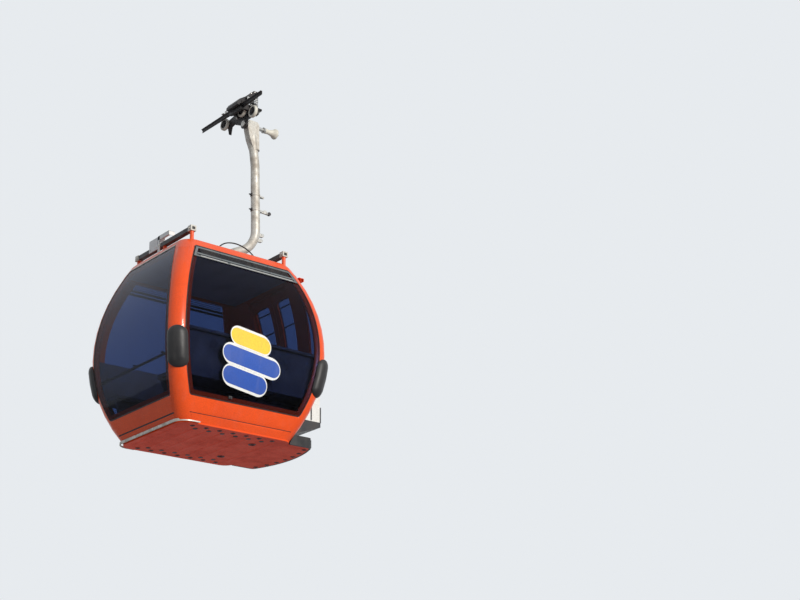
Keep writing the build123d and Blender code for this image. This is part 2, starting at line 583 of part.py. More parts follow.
def make_fittings():
    """Roof rails, vents and the guide bar at the foot of the left side."""
    rails, feet, caps = Part(), Part(), Part()
    low, high, half = RAIL_Z - RAIL_DEPTH / 2, RAIL_Z + RAIL_DEPTH / 2, RAIL_WIDTH / 2
    cap_size = (CAP_LENGTH, RAIL_WIDTH + 2 * CAP_SHEET, RAIL_DEPTH + 2 * CAP_SHEET)
    for y in (-RAIL_Y, RAIL_Y):
        whole = box(-RAIL_HALF_LENGTH, RAIL_HALF_LENGTH, y - half, y + half, low, high)
        hollow = half - RAIL_WALL
        rails += whole - box(-REACH, REACH, y - hollow, y + hollow, low + RAIL_WALL, high - RAIL_WALL)
        for x, top in ((-RAIL_FOOT_X, low - CAP_SHEET), (0, low), (RAIL_FOOT_X, low - CAP_SHEET)):
            feet += many_sided(Plane((x, y, SPLIT_Z)), RAIL_FOOT_RADIUS, top - SPLIT_Z)
            if x:
                caps += Pos(x, y, RAIL_Z) * Box(*cap_size) - whole
    parts["roof_rails"] = rails
    parts["rail_caps"] = caps
    parts["rail_feet"] = feet - roof_block()

    low, high, inset = VENT_LOW_Z, VENT_HIGH_Z, CORNER_RADIUS + 12
    sheet = layer(end_tunnel, -VENT_PROUD, VENT_PROUD, low, high)
    outer = side_tunnel(inset, low, high) & FRONT
    slot_low = low + VENT_RAIL
    slot = side_tunnel(inset + VENT_FRAME, slot_low, slot_low + VENT_SLOT)
    inner_low = slot_low + VENT_SLOT + VENT_RAIL
    inner = side_tunnel(inset + VENT_FRAME, inner_low, high - VENT_RAIL)
    parts["vent_front"] = (sheet & outer) - inner - slot
    parts["vent_rear"] = mirror(parts["vent_front"], Plane.YZ)

    bar_z = SKIRT_FOOT_Z - GUIDE_BAR_HEIGHT / 2
    half_x = half_length_at(bar_z + GUIDE_BAR_HEIGHT) + GUIDE_BAR_GAP
    half_y = half_width_at(bar_z + GUIDE_BAR_HEIGHT) + GUIDE_BAR_GAP
    radius, wide = CORNER_RADIUS + GUIDE_BAR_GAP, GUIDE_BAR_WIDTH
    bar = Pos(0, 0, bar_z) * extrude(
        RectangleRounded(2 * (half_x + wide), 2 * (half_y + wide), radius + wide)
        - RectangleRounded(2 * half_x, 2 * half_y, radius), GUIDE_BAR_HEIGHT)
    bar = bar & box(-REACH, REACH, -REACH, GUIDE_BAR_END_Y, bar_z, bar_z + GUIDE_BAR_HEIGHT)
    for x in GUIDE_BAR_BRACKETS:
        bar += box(x - 30, x + 30, -half_y - 2, -half_y + 60, SKIRT_FOOT_Z, bar_z + GUIDE_BAR_HEIGHT)
    parts["guide_bar"] = bar - side_tunnel(0, SKIRT_FOOT_Z - 1, SKIRT_FOOT_Z + 50)


def make_inside():
    """Moulded benches along both ends and the rail across the left window."""
    front, top, back, sheet = BENCH_FRONT_X, BENCH_TOP_Z, BENCH_BACK_Z, BENCH_SHEET
    rear, lean, wall = BENCH_REAR_X, BENCH_REAR_X + BENCH_LEAN, HALF_LENGTH
    leg = front + BENCH_LEG_INSET
    # x and z round a bench seen from the side: nose, seat, back, and underneath again to the leg
    seat = [(front, top - BENCH_NOSE), (front + BENCH_NOSE / 3, top), (rear, top - BENCH_FALL), (lean, back),
            (wall, back), (wall, back - sheet), (lean + sheet, back - sheet), (rear + sheet, top - BENCH_NOSE),
            (leg + BENCH_LEG, top - BENCH_NOSE), (leg + BENCH_LEG, FLOOR_TOP_Z), (leg, FLOOR_TOP_Z),
            (leg, top - BENCH_NOSE)]
    face = Plane.XZ * make_face(Polyline(*seat, close=True))
    bench = extrude(face, amount=REACH, both=True) & room_block()
    parts["bench_front"] = bench
    parts["bench_rear"] = mirror(bench, Plane.YZ)
    y = -(half_width_at(HAND_RAIL_Z) - WALL - HAND_RAIL_GAP)
    rail = rod((-REACH, y, HAND_RAIL_Z), (REACH, y, HAND_RAIL_Z), HAND_RAIL_RADIUS) & room_block()
    rail = rail - parts["bench_front"] - parts["bench_rear"]
    parts["window_rail"] = rail.solids().sort_by(SortBy.VOLUME)[-1]


def make_hanger():
    """The bent tube, its foot on the roof, the head at its top, bands, and the shaft of the pivot."""
    bend, knee = Vector(0, TUBE_BEND_Y, TUBE_BEND_Z), Vector(0, TUBE_LEAN_Y, TUBE_LEAN_Z)
    path = FilletPolyline((0, TUBE_START_Y, TUBE_START_Z), (0, TUBE_KNEE_Y, TUBE_START_Z), bend, knee,
                          (0, TUBE_TOP_Y, TUBE_TOP_Z), radius=TUBE_BENDS)
    tube = sweep(Plane(origin=path @ 0, z_dir=path % 0) * Circle(TUBE_RADIUS), path)
    parts["hanger_tube"] = tube
    half_x, half_y, top = FOOT_HALF_X, FOOT_HALF_Y, ROOF_FLAT_Z + FOOT_PLATE
    foot = box(-half_x, half_x, -half_y, half_y, ROOF_FLAT_Z, top)
    foot += box(-SADDLE_HALF_X, SADDLE_HALF_X, SADDLE_LOW_Y, SADDLE_HIGH_Y, top, TUBE_START_Z)
    parts["hanger_foot"] = foot - rod((0, -REACH, TUBE_START_Z), (0, REACH, TUBE_START_Z), TUBE_RADIUS)

    pivot_z = PIVOT_Z + WINDOW_FOOT_BELOW_ROPE
    pin_bore = rod((0, 0, pivot_z), (0, REACH, pivot_z), PIN_RADIUS)
    parts["hanger_head"] = plate_yz(HEAD_OUTLINE, -HEAD_HALF_X, HEAD_HALF_X) - tube - pin_bore

    bands = Part()
    lean = (knee - bend).normalized()
    for z, bolt in TUBE_BANDS:
        centre = bend + (knee - bend) * ((z - TUBE_BEND_Z) / (TUBE_LEAN_Z - TUBE_BEND_Z))
        start = Plane(origin=centre - lean * (BAND_WIDTH / 2), z_dir=lean)
        ring = extrude(start * Circle(TUBE_RADIUS + BAND_SHEET), BAND_WIDTH)
        low_y = centre.Y + TUBE_RADIUS - BAND_SHEET
        end_y = low_y + BAND_SHEET + bolt
        ring += box(-BOLT_RADIUS, BOLT_RADIUS, low_y, end_y, z - BOLT_RADIUS, z + BOLT_RADIUS)
        bands += ring - rod(bend, knee, TUBE_RADIUS)
    for z, end_y in TUBE_LUGS:
        bands += box(-BOLT_RADIUS, BOLT_RADIUS, TUBE_BEND_Y, end_y, z - BOLT_RADIUS, z + BOLT_RADIUS) - tube
    parts["tube_bands"] = bands

    shaft = rod((0, PIN_START_Y, pivot_z), (0, PIN_END_Y, pivot_z), PIN_RADIUS)
    shaft += rod((0, PIN_START_Y, pivot_z), (0, PIN_START_Y + PIN_HEAD, pivot_z), PIN_HEAD_RADIUS)
    spool_end = SPOOL_END_Y + SPOOL_WASHER
    shaft += rod((0, PIN_END_Y, pivot_z), (0, spool_end + 8, pivot_z), SPOOL_PIN_RADIUS)
    shaft += rod((0, spool_end - 4, pivot_z), (0, spool_end + 8, pivot_z), SPOOL_WASHER_RADIUS)
    parts["pivot_shaft"] = shaft
    start, end = SPOOL_START_Y, SPOOL_END_Y
    # how far along the spool its radius changes, and the radius there
    rings = ((start, SPOOL_RADIUS), (end - SPOOL_FLARE, SPOOL_RADIUS),
             (end - SPOOL_FLANGE, SPOOL_FLANGE_RADIUS), (end, SPOOL_FLANGE_RADIUS))
    spool = with_planes(loft([Plane(origin=(0, y, pivot_z), z_dir=(0, 1, 0)) * RegularPolygon(radius, SPOOL_SIDES)
                              for y, radius in rings], ruled=True))
    parts["guide_roller"] = spool - rod((0, start, pivot_z), (0, end, pivot_z), SPOOL_PIN_RADIUS + PIN_PLAY)


def make_jaws():
    """The fixed jaw with the tongues along the rope, and the sprung jaw with its lever."""
    reach = JAW_HALF_LENGTH
    rope = rod((-REACH, 0, 0), (REACH, 0, 0), ROPE_RADIUS)
    far = box(-reach, reach, -14, 140, -70, 0) + box(-reach, reach, 4, 140, 0, 70)
    ring = rod((-reach, 0, 0), (reach, 0, 0), JAW_RADIUS)
    webs = box(-reach, JAW_WEB - reach, 40, BEAM_LOW_Y, -40, 40)
    webs += box(reach - JAW_WEB, reach, 40, BEAM_LOW_Y, -40, 40)
    parts["fixed_jaw"] = ((ring & far) + webs) - rope
    tongues = Part()
    for root, tip in ((reach, TONGUE_FRONT_X), (-reach, TONGUE_REAR_X)):
        corners = ((root, 6), (root, TONGUE_ROOT), (tip, TONGUE_TIP), (tip, 6))
        wedge = Plane.XY * make_face(Polyline(*corners, close=True))
        tongues += Pos(0, 0, -18) * extrude(wedge, 18 + TONGUE_TIP)
    parts["rope_tongues"] = tongues - rod((-REACH, 0, 0), (REACH, 0, 0), ROPE_RADIUS + 1)

    # y and z round the lever: from the jaw's foot beside the rope up to the spring's cap and back
    outline = [(-60, -6), (-60, 30), (-30, 78), (60, 140), (190, 262), (300, 262), (300, SPRING_HEAD_Z),
               (200, SPRING_HEAD_Z - 8), (118, 118), (104, 84), (66, 84), (30, 62), (-3, 62), (-3, 20), (-20, -6)]
    lever = plate_yz(outline, -reach, reach) - rope
    pivot_y, pivot_z = LEVER_PIVOT_Y, LEVER_PIVOT_Z
    lever -= rod((-REACH, pivot_y, pivot_z), (REACH, pivot_y, pivot_z), LEVER_PIN_RADIUS + PIN_PLAY)
    parts["grip_lever"] = lever - box(-60, 60, 120, 400, 0, 400)


def make_grip():
    """The grip's frame with its axles, the springs and the wheels."""
    low, high = BEAM_LOW_Y, BEAM_HIGH_Y
    frame = box(-BEAM_HALF_LENGTH, BEAM_HALF_LENGTH, low, high, BEAM_LOW_Z, BEAM_HIGH_Z)
    frame = fillet(frame.edges().filter_by(Axis.Y), BEAM_CORNER)
    for outline in (FRONT_ARM, REAR_ARM):
        arm = Plane.XZ * make_face(Polyline(*outline, close=True))
        frame += Pos(0, low, 0) * extrude(arm, low - high)
    ear = rod((0, low, PIVOT_Z), (0, EAR_HIGH_Y, PIVOT_Z), EAR_RADIUS)
    ear += Pos(0, low, 0) * extrude(Plane.XZ * make_face(Polyline(*EAR_PLATE, close=True)), low - EAR_HIGH_Y)
    frame += ear - rod((0, 0, PIVOT_Z), (0, 400, PIVOT_Z), PIN_RADIUS + PIN_PLAY)
    frame += box(-SHELF_HALF_LENGTH, SHELF_HALF_LENGTH, high, SHELF_END_Y, SHELF_LOW_Z, SPRING_FOOT_Z)
    ear = box(LEVER_EAR_X, LEVER_EAR_X + LEVER_EAR, 62, high, 30, 128)
    ear -= box(LEVER_EAR_X - 1, 200, 60, low - 2, 29, 84)
    frame += both_ends(ear)
    axle_x = LEVER_EAR_X + LEVER_EAR
    pivot_y, pivot_z = LEVER_PIVOT_Y, LEVER_PIVOT_Z
    frame += rod((-axle_x, pivot_y, pivot_z), (axle_x, pivot_y, pivot_z), LEVER_PIN_RADIUS)
    for x, z in WHEELS.values():
        frame += rod((x, WHEEL_LOW_Y - 8, z), (x, low + 2, z), AXLE_RADIUS)
        frame += rod((x, WHEEL_LOW_Y - 10, z), (x, WHEEL_LOW_Y - 2, z), AXLE_HEAD_RADIUS)
    parts["grip_frame"] = frame - parts["fixed_jaw"]

    springs = Part()
    foot, head, seat = SPRING_FOOT_Z, SPRING_HEAD_Z, SPRING_SEAT
    for x in (-SPRING_X, SPRING_X):
        for radius, start, end in ((SPRING_RADIUS, foot, foot + seat), (SPRING_CORE_RADIUS, foot, head),
                                   (SPRING_RADIUS, head - seat, head)):
            springs += many_sided(Plane((x, SPRING_Y, start)), radius, end - start, 16)
    parts["grip_springs"] = springs - parts["grip_lever"]

    bore = AXLE_RADIUS + AXLE_PLAY
    low, high = WHEEL_LOW_Y, WHEEL_HIGH_Y
    profile = [(bore, low), (WHEEL_RADIUS, low), (WHEEL_RADIUS, high), (bore, high)]
    wheel = revolve(make_face(Polyline(*profile, close=True)), Axis.Y)
    for name, (x, z) in WHEELS.items():
        parts[f"grip_wheel_{name}"] = Pos(x, 0, z) * wheel


make_body_shell()
make_floor()
make_doors()
make_bumpers()
make_fittings()
make_inside()
make_hanger()
cabin_nodes = list(parts)
make_jaws()
make_grip()

os.makedirs("parts", exist_ok=True)
for node, solid in parts.items():
    print(node, len(solid.solids()), "solids", round(solid.volume / 1e6, 2), "litres")
    placed = CABIN_PLACE * solid if node in cabin_nodes else solid
    export_step(placed, f"parts/{node}.step")
print(len(parts), "pieces")
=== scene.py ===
# %% [markdown]
# # A gondola cabin, dressed around its CAD frame
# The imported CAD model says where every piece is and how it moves. This script keeps that frame as it is
# and adds what the eye looks for: smooth curved sheet metal, glass with its rubber seals, springs, bolts
# and paint.

import json
from itertools import product
from math import cos, pi, radians, sin, sqrt

import bmesh
import bpy
from mathutils import Matrix, Vector


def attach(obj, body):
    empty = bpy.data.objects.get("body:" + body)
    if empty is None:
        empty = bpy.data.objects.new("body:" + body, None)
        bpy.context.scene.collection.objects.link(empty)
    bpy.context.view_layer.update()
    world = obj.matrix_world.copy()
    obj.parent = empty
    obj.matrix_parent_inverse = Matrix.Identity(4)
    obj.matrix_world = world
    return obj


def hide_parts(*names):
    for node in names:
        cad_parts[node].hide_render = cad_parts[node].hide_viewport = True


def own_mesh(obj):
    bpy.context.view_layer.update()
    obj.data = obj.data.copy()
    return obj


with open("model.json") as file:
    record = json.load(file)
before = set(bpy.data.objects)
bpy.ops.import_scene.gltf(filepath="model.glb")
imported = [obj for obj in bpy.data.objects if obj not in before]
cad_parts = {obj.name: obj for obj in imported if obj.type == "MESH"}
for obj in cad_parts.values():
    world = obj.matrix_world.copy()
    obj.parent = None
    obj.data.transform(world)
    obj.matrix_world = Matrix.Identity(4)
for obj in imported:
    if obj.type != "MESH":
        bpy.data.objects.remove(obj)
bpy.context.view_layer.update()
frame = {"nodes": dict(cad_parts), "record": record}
NODES = frame["nodes"]

# %% [markdown]
# ## The camera
# The photographer stands below the rope and looks up, so the lens is long and the camera low. A camera's
# own axes are its right, its up and its back. They follow from two angles and a small roll, and they are
# the columns of the camera's matrix. It could also be aimed with a Track To constraint, but a matrix
# keeps the roll exact.

# %% Place the camera
def add_object(name, data):
    """Puts a new object into the scene."""
    obj = bpy.data.objects.new(name, data)
    bpy.context.scene.collection.objects.link(obj)
    return obj


CAMERA_AT = Vector((14.623, -9.697, -9.280))
CAMERA_AZIMUTH = radians(49.747)
CAMERA_ELEVATION = radians(-20.828)
CAMERA_ROLL = radians(-1.028)
CAMERA_LENS, CAMERA_REACH = 69.2, 300
back = Vector((sin(CAMERA_AZIMUTH) * cos(CAMERA_ELEVATION), -cos(CAMERA_AZIMUTH) * cos(CAMERA_ELEVATION),
               sin(CAMERA_ELEVATION)))
level = (-back).cross(Vector((0, 0, 1))).normalized()
upright = level.cross(-back)
right = cos(CAMERA_ROLL) * level + sin(CAMERA_ROLL) * upright
up = cos(CAMERA_ROLL) * upright - sin(CAMERA_ROLL) * level
camera = add_object("camera", bpy.data.cameras.new("camera"))
camera.data.lens = CAMERA_LENS
camera.data.clip_end = CAMERA_REACH
camera.matrix_world = Matrix.Translation(CAMERA_AT) @ Matrix((right, up, back)).transposed().to_4x4()
bpy.context.scene.camera = camera
print("camera at", tuple(CAMERA_AT), "lens", CAMERA_LENS)

# %% [markdown]
# ## Trees of nodes
# The world and every finish are trees of shader nodes. They could be drawn in the shader editor, but a
# script can be read and rerun. A few short functions do what each tree needs: set inputs, add a node,
# join sockets, and combine two values. Where a value may be a socket or a plain number, the joining
# function takes either.

# %% Helpers for nodes
def set_inputs(node, **values):
    """Sets the inputs that are named, with _ for a space in a name."""
    for name, value in values.items():
        node.inputs[name.replace("_", " ")].default_value = value


def add_node(tree, kind, operation=None, **values):
    """Adds a node and sets the inputs that are named."""
    node = tree.nodes.new("ShaderNode" + kind)
    if operation:
        node.operation = operation
    set_inputs(node, **values)
    return node


def link(tree, *pairs):
    """Feeds each input from an output, or gives it a plain value."""
    for start, end in pairs:
        if isinstance(start, bpy.types.NodeSocket):
            tree.links.new(start, end)
        else:
            end.default_value = start


def combine(tree, operation, first, second):
    """Adds or multiplies two values, or takes the larger one."""
    made = add_node(tree, "Math", operation)
    link(tree, *zip((first, second), made.inputs))
    return made.outputs[0]


print("helpers for nodes are ready")

# %% [markdown]
# ## Light and surroundings
# One broad, soft lamp stands for the low sun in front of the cabin, and the world fills the shadows. A
# sun lamp with a wide angle gives the same soft light everywhere, which a small area lamp wouldn't at
# this size. The world shows the camera a plain pale backdrop, and the same backdrop to mirror and glass
# rays, while its fill light stays low.

# %% Light the scene
SUN_FROM = Vector((0.90, 0.05, 0.20))
SUN_STRENGTH = 3.0
SUN_SOFTNESS = radians(14)
SUN_COLOUR = (1.0, 0.96, 0.90)
FILL_COLOUR = (0.80, 0.88, 1.0, 1)
FILL_STRENGTH = 0.34
BACKDROP = (0.80, 0.83, 0.86, 1)
sun = add_object("sun", bpy.data.lights.new("sun", "SUN"))
sun.data.energy = SUN_STRENGTH
sun.data.angle = SUN_SOFTNESS
sun.data.color = SUN_COLOUR
sun.rotation_euler = SUN_FROM.to_track_quat("Z", "Y").to_euler()
world = bpy.data.worlds.new("studio")
bpy.context.scene.world = world
world.use_nodes = True
tree = world.node_tree
tree.nodes.clear()
rays = add_node(tree, "LightPath").outputs
direct = combine(tree, "MAXIMUM", rays["Is Camera Ray"], rays["Is Glossy Ray"])
seen = combine(tree, "MAXIMUM", direct, rays["Is Transmission Ray"])
fill = add_node(tree, "Background", Color=FILL_COLOUR, Strength=FILL_STRENGTH)
shown = add_node(tree, "Background", Color=BACKDROP)
mix = add_node(tree, "MixShader")
link(tree, (seen, mix.inputs["Fac"]), (fill.outputs[0], mix.inputs[1]), (shown.outputs[0], mix.inputs[2]),
     (mix.outputs[0], add_node(tree, "OutputWorld").inputs["Surface"]))
bpy.context.scene.view_settings.view_transform = "Standard"
print("sun from", tuple(SUN_FROM), "strength", SUN_STRENGTH)

# %% [markdown]
# ## Node groups for effects that many finishes share
# Weathered paint, zinc, rubber and castings all need the same two effects: blotches that change colour
# and gloss, and fine grain that breaks up a highlight. A node group is built once and placed in each
# material with its own values, so one change mends all of them. Copying the nodes into each material
# would work too, but it is hard to keep even.

# %% Helpers for groups, textures and masks
def make_group(name, inputs, outputs):
    """Starts a node group with its sockets and gives its tree, what it is given and what it puts out."""
    group = bpy.data.node_groups.new(name, "ShaderNodeTree")
    for way, sockets in (("INPUT", inputs), ("OUTPUT", outputs)):
        for socket, (kind, value) in sockets.items():
            made = group.interface.new_socket(name=socket, in_out=way, socket_type="NodeSocket" + kind)
            if value is not None:
                made.default_value = value
    return group, group.nodes.new("NodeGroupInput").outputs, group.nodes.new("NodeGroupOutput").inputs


def noise(tree, scale, detail=4.0, roughness=0.55, stretch=None):
    """A noise texture on object coordinates. Stretch squeezes the pattern along some axes."""
    vector = add_node(tree, "TexCoord").outputs["Object"]
    if stretch:
        mapping = add_node(tree, "Mapping", Scale=stretch)
        link(tree, (vector, mapping.inputs["Vector"]))
        vector = mapping.outputs["Vector"]
    made = add_node(tree, "TexNoise", Detail=detail, Roughness=roughness)
    link(tree, (vector, made.inputs["Vector"]), (scale, made.inputs["Scale"]))
    return made.outputs["Fac"]


def remap(tree, value, low, high, to_low=0.0, to_high=1.0):
    """Spreads a range of values over another, clamped at its ends."""
    made = add_node(tree, "MapRange", From_Min=low, From_Max=high, To_Min=to_low, To_Max=to_high)
    link(tree, (value, made.inputs["Value"]))
    return made.outputs["Result"]


def mix_colours(tree, factor, first, second, blend="MIX"):
    """Blends two colours, each a socket or a plain value."""
    made = tree.nodes.new("ShaderNodeMix")
    made.data_type = "RGBA"
    made.blend_type = blend
    link(tree, (factor, made.inputs[0]), (first, made.inputs[6]), (second, made.inputs[7]))
    return made.outputs[2]


def upward(tree):
    """How far a face looks up: the Z of its normal."""
    facing = add_node(tree, "SeparateXYZ")
    link(tree, (add_node(tree, "NewGeometry").outputs["Normal"], facing.inputs[0]))
    return facing.outputs["Z"]


print("helpers for groups are ready")

# %% Group 1: blotches and grain
# ranges are given as low and high, and where needed what these two become
STAINED, SPECKLED, DULLED = (0.42, 0.72), (0.3, 0.7, 0.86, 1.12), (0.35, 0.7, -1.0, 1.0)
blotch_group, given, wanted = make_group(
    "blotches_and_grain",
    {"Colour": ("Color", (0.5, 0.5, 0.5, 1)), "Stain": ("Color", (0.2, 0.2, 0.2, 1)),
     "Stain amount": ("Float", 0.3), "Blotch scale": ("Float", 6.0), "Grain scale": ("Float", 60.0),
     "Base roughness": ("Float", 0.4), "Roughness change": ("Float", 0.15)},
    {"Colour": ("Color", None), "Roughness": ("Float", None), "Height": ("Float", None)})
tree = blotch_group
blotches = noise(tree, given["Blotch scale"])
grain = noise(tree, given["Grain scale"], detail=3.0)
mask = combine(tree, "MULTIPLY", remap(tree, blotches, *STAINED), given["Stain amount"])
stained = mix_colours(tree, mask, given["Colour"], given["Stain"])
speckled = mix_colours(tree, 1.0, stained, remap(tree, grain, *SPECKLED), "MULTIPLY")
rougher = combine(tree, "MULTIPLY", remap(tree, blotches, *DULLED), given["Roughness change"])
rough = combine(tree, "ADD", rougher, given["Base roughness"])
link(tree, (speckled, wanted["Colour"]), (rough, wanted["Roughness"]), (grain, wanted["Height"]))
print("group", tree.name)

# %% Group 2: dust and road dirt that gathers on what looks up and runs down the sides
STREAK_SCALE, STREAK_STRETCH, STREAKED = 9.0, (1.0, 1.0, 0.12), (0.52, 0.78)
CLOUD_SCALE, CLOUDED, SETTLED = 2.2, (0.38, 0.7), (0.1, 0.9, 0.35, 1.0)
DUST_DULLS = 0.5
weather_group, given, wanted = make_group(
    "dust_and_streaks",
    {"Colour": ("Color", (0.5, 0.5, 0.5, 1)), "Dust": ("Color", (0.36, 0.33, 0.30, 1)),
     "Dust amount": ("Float", 0.3), "Streak amount": ("Float", 0.2), "Roughness": ("Float", 0.4)},
    {"Colour": ("Color", None), "Roughness": ("Float", None)})
tree = weather_group
streaks = noise(tree, STREAK_SCALE, detail=5.0, stretch=STREAK_STRETCH)
clouds = noise(tree, CLOUD_SCALE, detail=5.0, roughness=0.65)
settled = combine(tree, "MULTIPLY", remap(tree, clouds, *CLOUDED), remap(tree, upward(tree), *SETTLED))
dust = combine(tree, "MULTIPLY", settled, given["Dust amount"])
run = combine(tree, "MULTIPLY", remap(tree, streaks, *STREAKED), given["Streak amount"])
both = combine(tree, "ADD", dust, run)
both.node.use_clamp = True
rough = combine(tree, "ADD", combine(tree, "MULTIPLY", both, DUST_DULLS), given["Roughness"])
dirty = mix_colours(tree, both, given["Colour"], given["Dust"])
link(tree, (dirty, wanted["Colour"]), (rough, wanted["Roughness"]))
print("group", tree.name)

# %% [markdown]
# ## The finishes
# Each finish is one row of a table: its colour, its gloss, what stains it and how much dust it carries.
# The rows pass through the same two groups and end in the Principled shader, with numbers that are the
# same all over set on the shader's own sockets. Orange paint gets a clear coat, zinc gets metal with dull
# patches, rubber stays rough.

# %% Make the opaque finishes
FINISHES = {}
COAT_ROUGHNESS = 0.06
# how far a face looks down to keep its main colour; on the tray that colour is painted bounce light
LOOKS_DOWN = (-0.75, -0.55)


def new_material(name):
    """Starts a finish and gives its node tree and its Principled shader."""
    FINISHES[name] = bpy.data.materials.new(name)
    FINISHES[name].use_nodes = True
    return FINISHES[name].node_tree, FINISHES[name].node_tree.nodes["Principled BSDF"]


def place_group(tree, group, **values):
    """Places a node group and sets its inputs."""
    made = add_node(tree, "Group")
    made.node_tree = group
    set_inputs(made, **values)
    return made


def opaque_finish(name, colour, stain, stained, blotch, grain, roughness, change, dust=0.15, streaks=0.1,
                  metallic=0.0, coat=0.0, bump=0.15, bump_depth=0.001, specular=0.5, sides=None):
    """A finish with blotches, grain, dust and a slight relief. Sides colours faces that don't look down."""
    tree, shader = new_material(name)
    set_inputs(shader, Metallic=metallic, Coat_Weight=coat, Coat_Roughness=COAT_ROUGHNESS,
               Specular_IOR_Level=specular)
    worn = place_group(tree, blotch_group, Colour=(*colour, 1), Stain=(*stain, 1), Stain_amount=stained,
                       Blotch_scale=blotch, Grain_scale=grain, Base_roughness=roughness,
                       Roughness_change=change).outputs
    dusty = place_group(tree, weather_group, Dust_amount=dust, Streak_amount=streaks)
    relief = add_node(tree, "Bump", Strength=bump, Distance=bump_depth)
    coloured = worn["Colour"]
    # faces that look down keep the main colour, which on the tray is painted bounce light; the others take
    # the sides' colour
    if sides:
        coloured = mix_colours(tree, remap(tree, upward(tree), *LOOKS_DOWN), coloured, (*sides, 1))
    link(tree, (coloured, dusty.inputs["Colour"]), (worn["Roughness"], dusty.inputs["Roughness"]),
         (worn["Height"], relief.inputs["Height"]), (dusty.outputs["Colour"], shader.inputs["Base Color"]),
         (dusty.outputs["Roughness"], shader.inputs["Roughness"]),
         (relief.outputs["Normal"], shader.inputs["Normal"]))


# name, colour, stain, stain amount, blotch and grain scale, roughness and its change, then what differs
OPAQUE = [
    ("orange_paint", (0.84, 0.086, 0.010), (0.62, 0.050, 0.008), 0.30, 3.0, 90.0, 0.34, 0.06,
     dict(coat=0.25, dust=0.05, streaks=0.06, specular=0.25)),
    # on faces that look down, the tray's colour is the orange paint with painted bounce light, lighter and
    # pinker
    ("tray_paint_painted_bounce", (0.90, 0.105, 0.058), (0.62, 0.072, 0.045), 0.60, 5.0, 60.0, 0.62, 0.10,
     dict(dust=0.10, streaks=0.0, specular=0.15, bump=0.25, sides=(0.80, 0.075, 0.008))),
    ("dark_liner", (0.42, 0.36, 0.39), (0.26, 0.22, 0.24), 0.4, 4.0, 120.0, 0.70, 0.1, {}),
    ("floor_cover", (0.055, 0.055, 0.060), (0.10, 0.09, 0.08), 0.5, 8.0, 150.0, 0.85, 0.08, {}),
    ("dark_rubber", (0.014, 0.014, 0.016), (0.030, 0.029, 0.028), 0.5, 7.0, 140.0, 0.42, 0.10,
     dict(dust=0.08, streaks=0.05, specular=0.35)),
    ("dark_steel", (0.030, 0.031, 0.036), (0.060, 0.048, 0.040), 0.4, 9.0, 110.0, 0.45, 0.12,
     dict(dust=0.10, specular=0.35)),
    ("white_board", (0.78, 0.78, 0.75), (0.55, 0.53, 0.49), 0.5, 5.0, 80.0, 0.42, 0.1,
     dict(dust=0.25, streaks=0.25)),
    ("galvanised_steel", (0.56, 0.54, 0.49), (0.36, 0.31, 0.25), 0.80, 9.0, 45.0, 0.50, 0.12,
     dict(metallic=0.35, dust=0.25, streaks=0.3, bump=0.2)),
    ("grey_frame", (0.115, 0.135, 0.145), (0.07, 0.08, 0.085), 0.4, 6.0, 90.0, 0.45, 0.1, dict(dust=0.25)),
    ("bench_plastic", (0.040, 0.044, 0.055), (0.08, 0.08, 0.085), 0.3, 6.0, 120.0, 0.35, 0.1, {}),
    ("bright_steel", (0.56, 0.56, 0.54), (0.34, 0.30, 0.25), 0.6, 14.0, 90.0, 0.36, 0.14, dict(metallic=0.8)),
    ("pale_roller", (0.72, 0.69, 0.60), (0.40, 0.35, 0.27), 0.6, 18.0, 90.0, 0.55, 0.1, dict(dust=0.2)),
    ("black_casting", (0.018, 0.018, 0.021), (0.050, 0.038, 0.030), 0.5, 16.0, 120.0, 0.48, 0.14,
     dict(dust=0.10, streaks=0.05, bump=0.35, bump_depth=0.002, specular=0.35)),
    ("film_white", (0.84, 0.84, 0.82), (0.66, 0.65, 0.62), 0.3, 5.0, 80.0, 0.35, 0.06, dict(dust=0.08)),
    ("film_yellow", (0.86, 0.62, 0.045), (0.66, 0.46, 0.05), 0.3, 5.0, 80.0, 0.35, 0.06, dict(dust=0.08)),
    ("film_blue", (0.020, 0.085, 0.42), (0.03, 0.07, 0.28), 0.3, 5.0, 80.0, 0.35, 0.06, dict(dust=0.08)),
]
for *numbers, others in OPAQUE:
    opaque_finish(*numbers, **others)
print(len(FINISHES), "opaque finishes")

# %% [markdown]
# ## The tinted glass
# The windows are dark, blue-grey plastic glazing that still shows the far windows. A Principled shader
# with full transmission bends the light as a solid sheet does. Light for the room would have to pass it
# as a caustic, which a path tracer does badly, so shadow and diffuse rays meet a plain tinted
# transparency in its place. The index is set low, because the pale studio would otherwise lay a veil over
# the dark tint, which a deep blue sky doesn't do.

# %% Make the glass
GLASS_INDEX = 1.16
GLASS_TINT = (0.130, 0.190, 0.345, 1)
GLASS_LIGHT_TINT = (0.72, 0.68, 0.78, 1)
GLASS_HAZE_TINT = (0.16, 0.20, 0.33, 1)
HAZE_SCALE, DRIP_SCALE, DRIP_STRETCH = 1.7, 12.0, (1.0, 1.0, 0.08)
HAZE_COLOURS, HAZE_ROUGHENS = (0.4, 0.75, 0.0, 0.35), (0.35, 0.75, 0.0, 0.03)
DRIPS_ROUGHEN = (0.5, 0.8, 0.4, 1.0)
tree, shader = new_material("tinted_glass")
set_inputs(shader, Transmission_Weight=1.0, Metallic=0.0, IOR=GLASS_INDEX)
film = noise(tree, HAZE_SCALE, detail=5.0, roughness=0.6)
drips = noise(tree, DRIP_SCALE, stretch=DRIP_STRETCH)
tint = mix_colours(tree, remap(tree, film, *HAZE_COLOURS), GLASS_TINT, GLASS_HAZE_TINT)
haze = combine(tree, "MULTIPLY", remap(tree, drips, *DRIPS_ROUGHEN), remap(tree, film, *HAZE_ROUGHENS))
clear = add_node(tree, "BsdfTransparent", Color=GLASS_LIGHT_TINT)
rays = add_node(tree, "LightPath").outputs
unseen = combine(tree, "MAXIMUM", rays["Is Shadow Ray"], rays["Is Diffuse Ray"])
mix = add_node(tree, "MixShader")
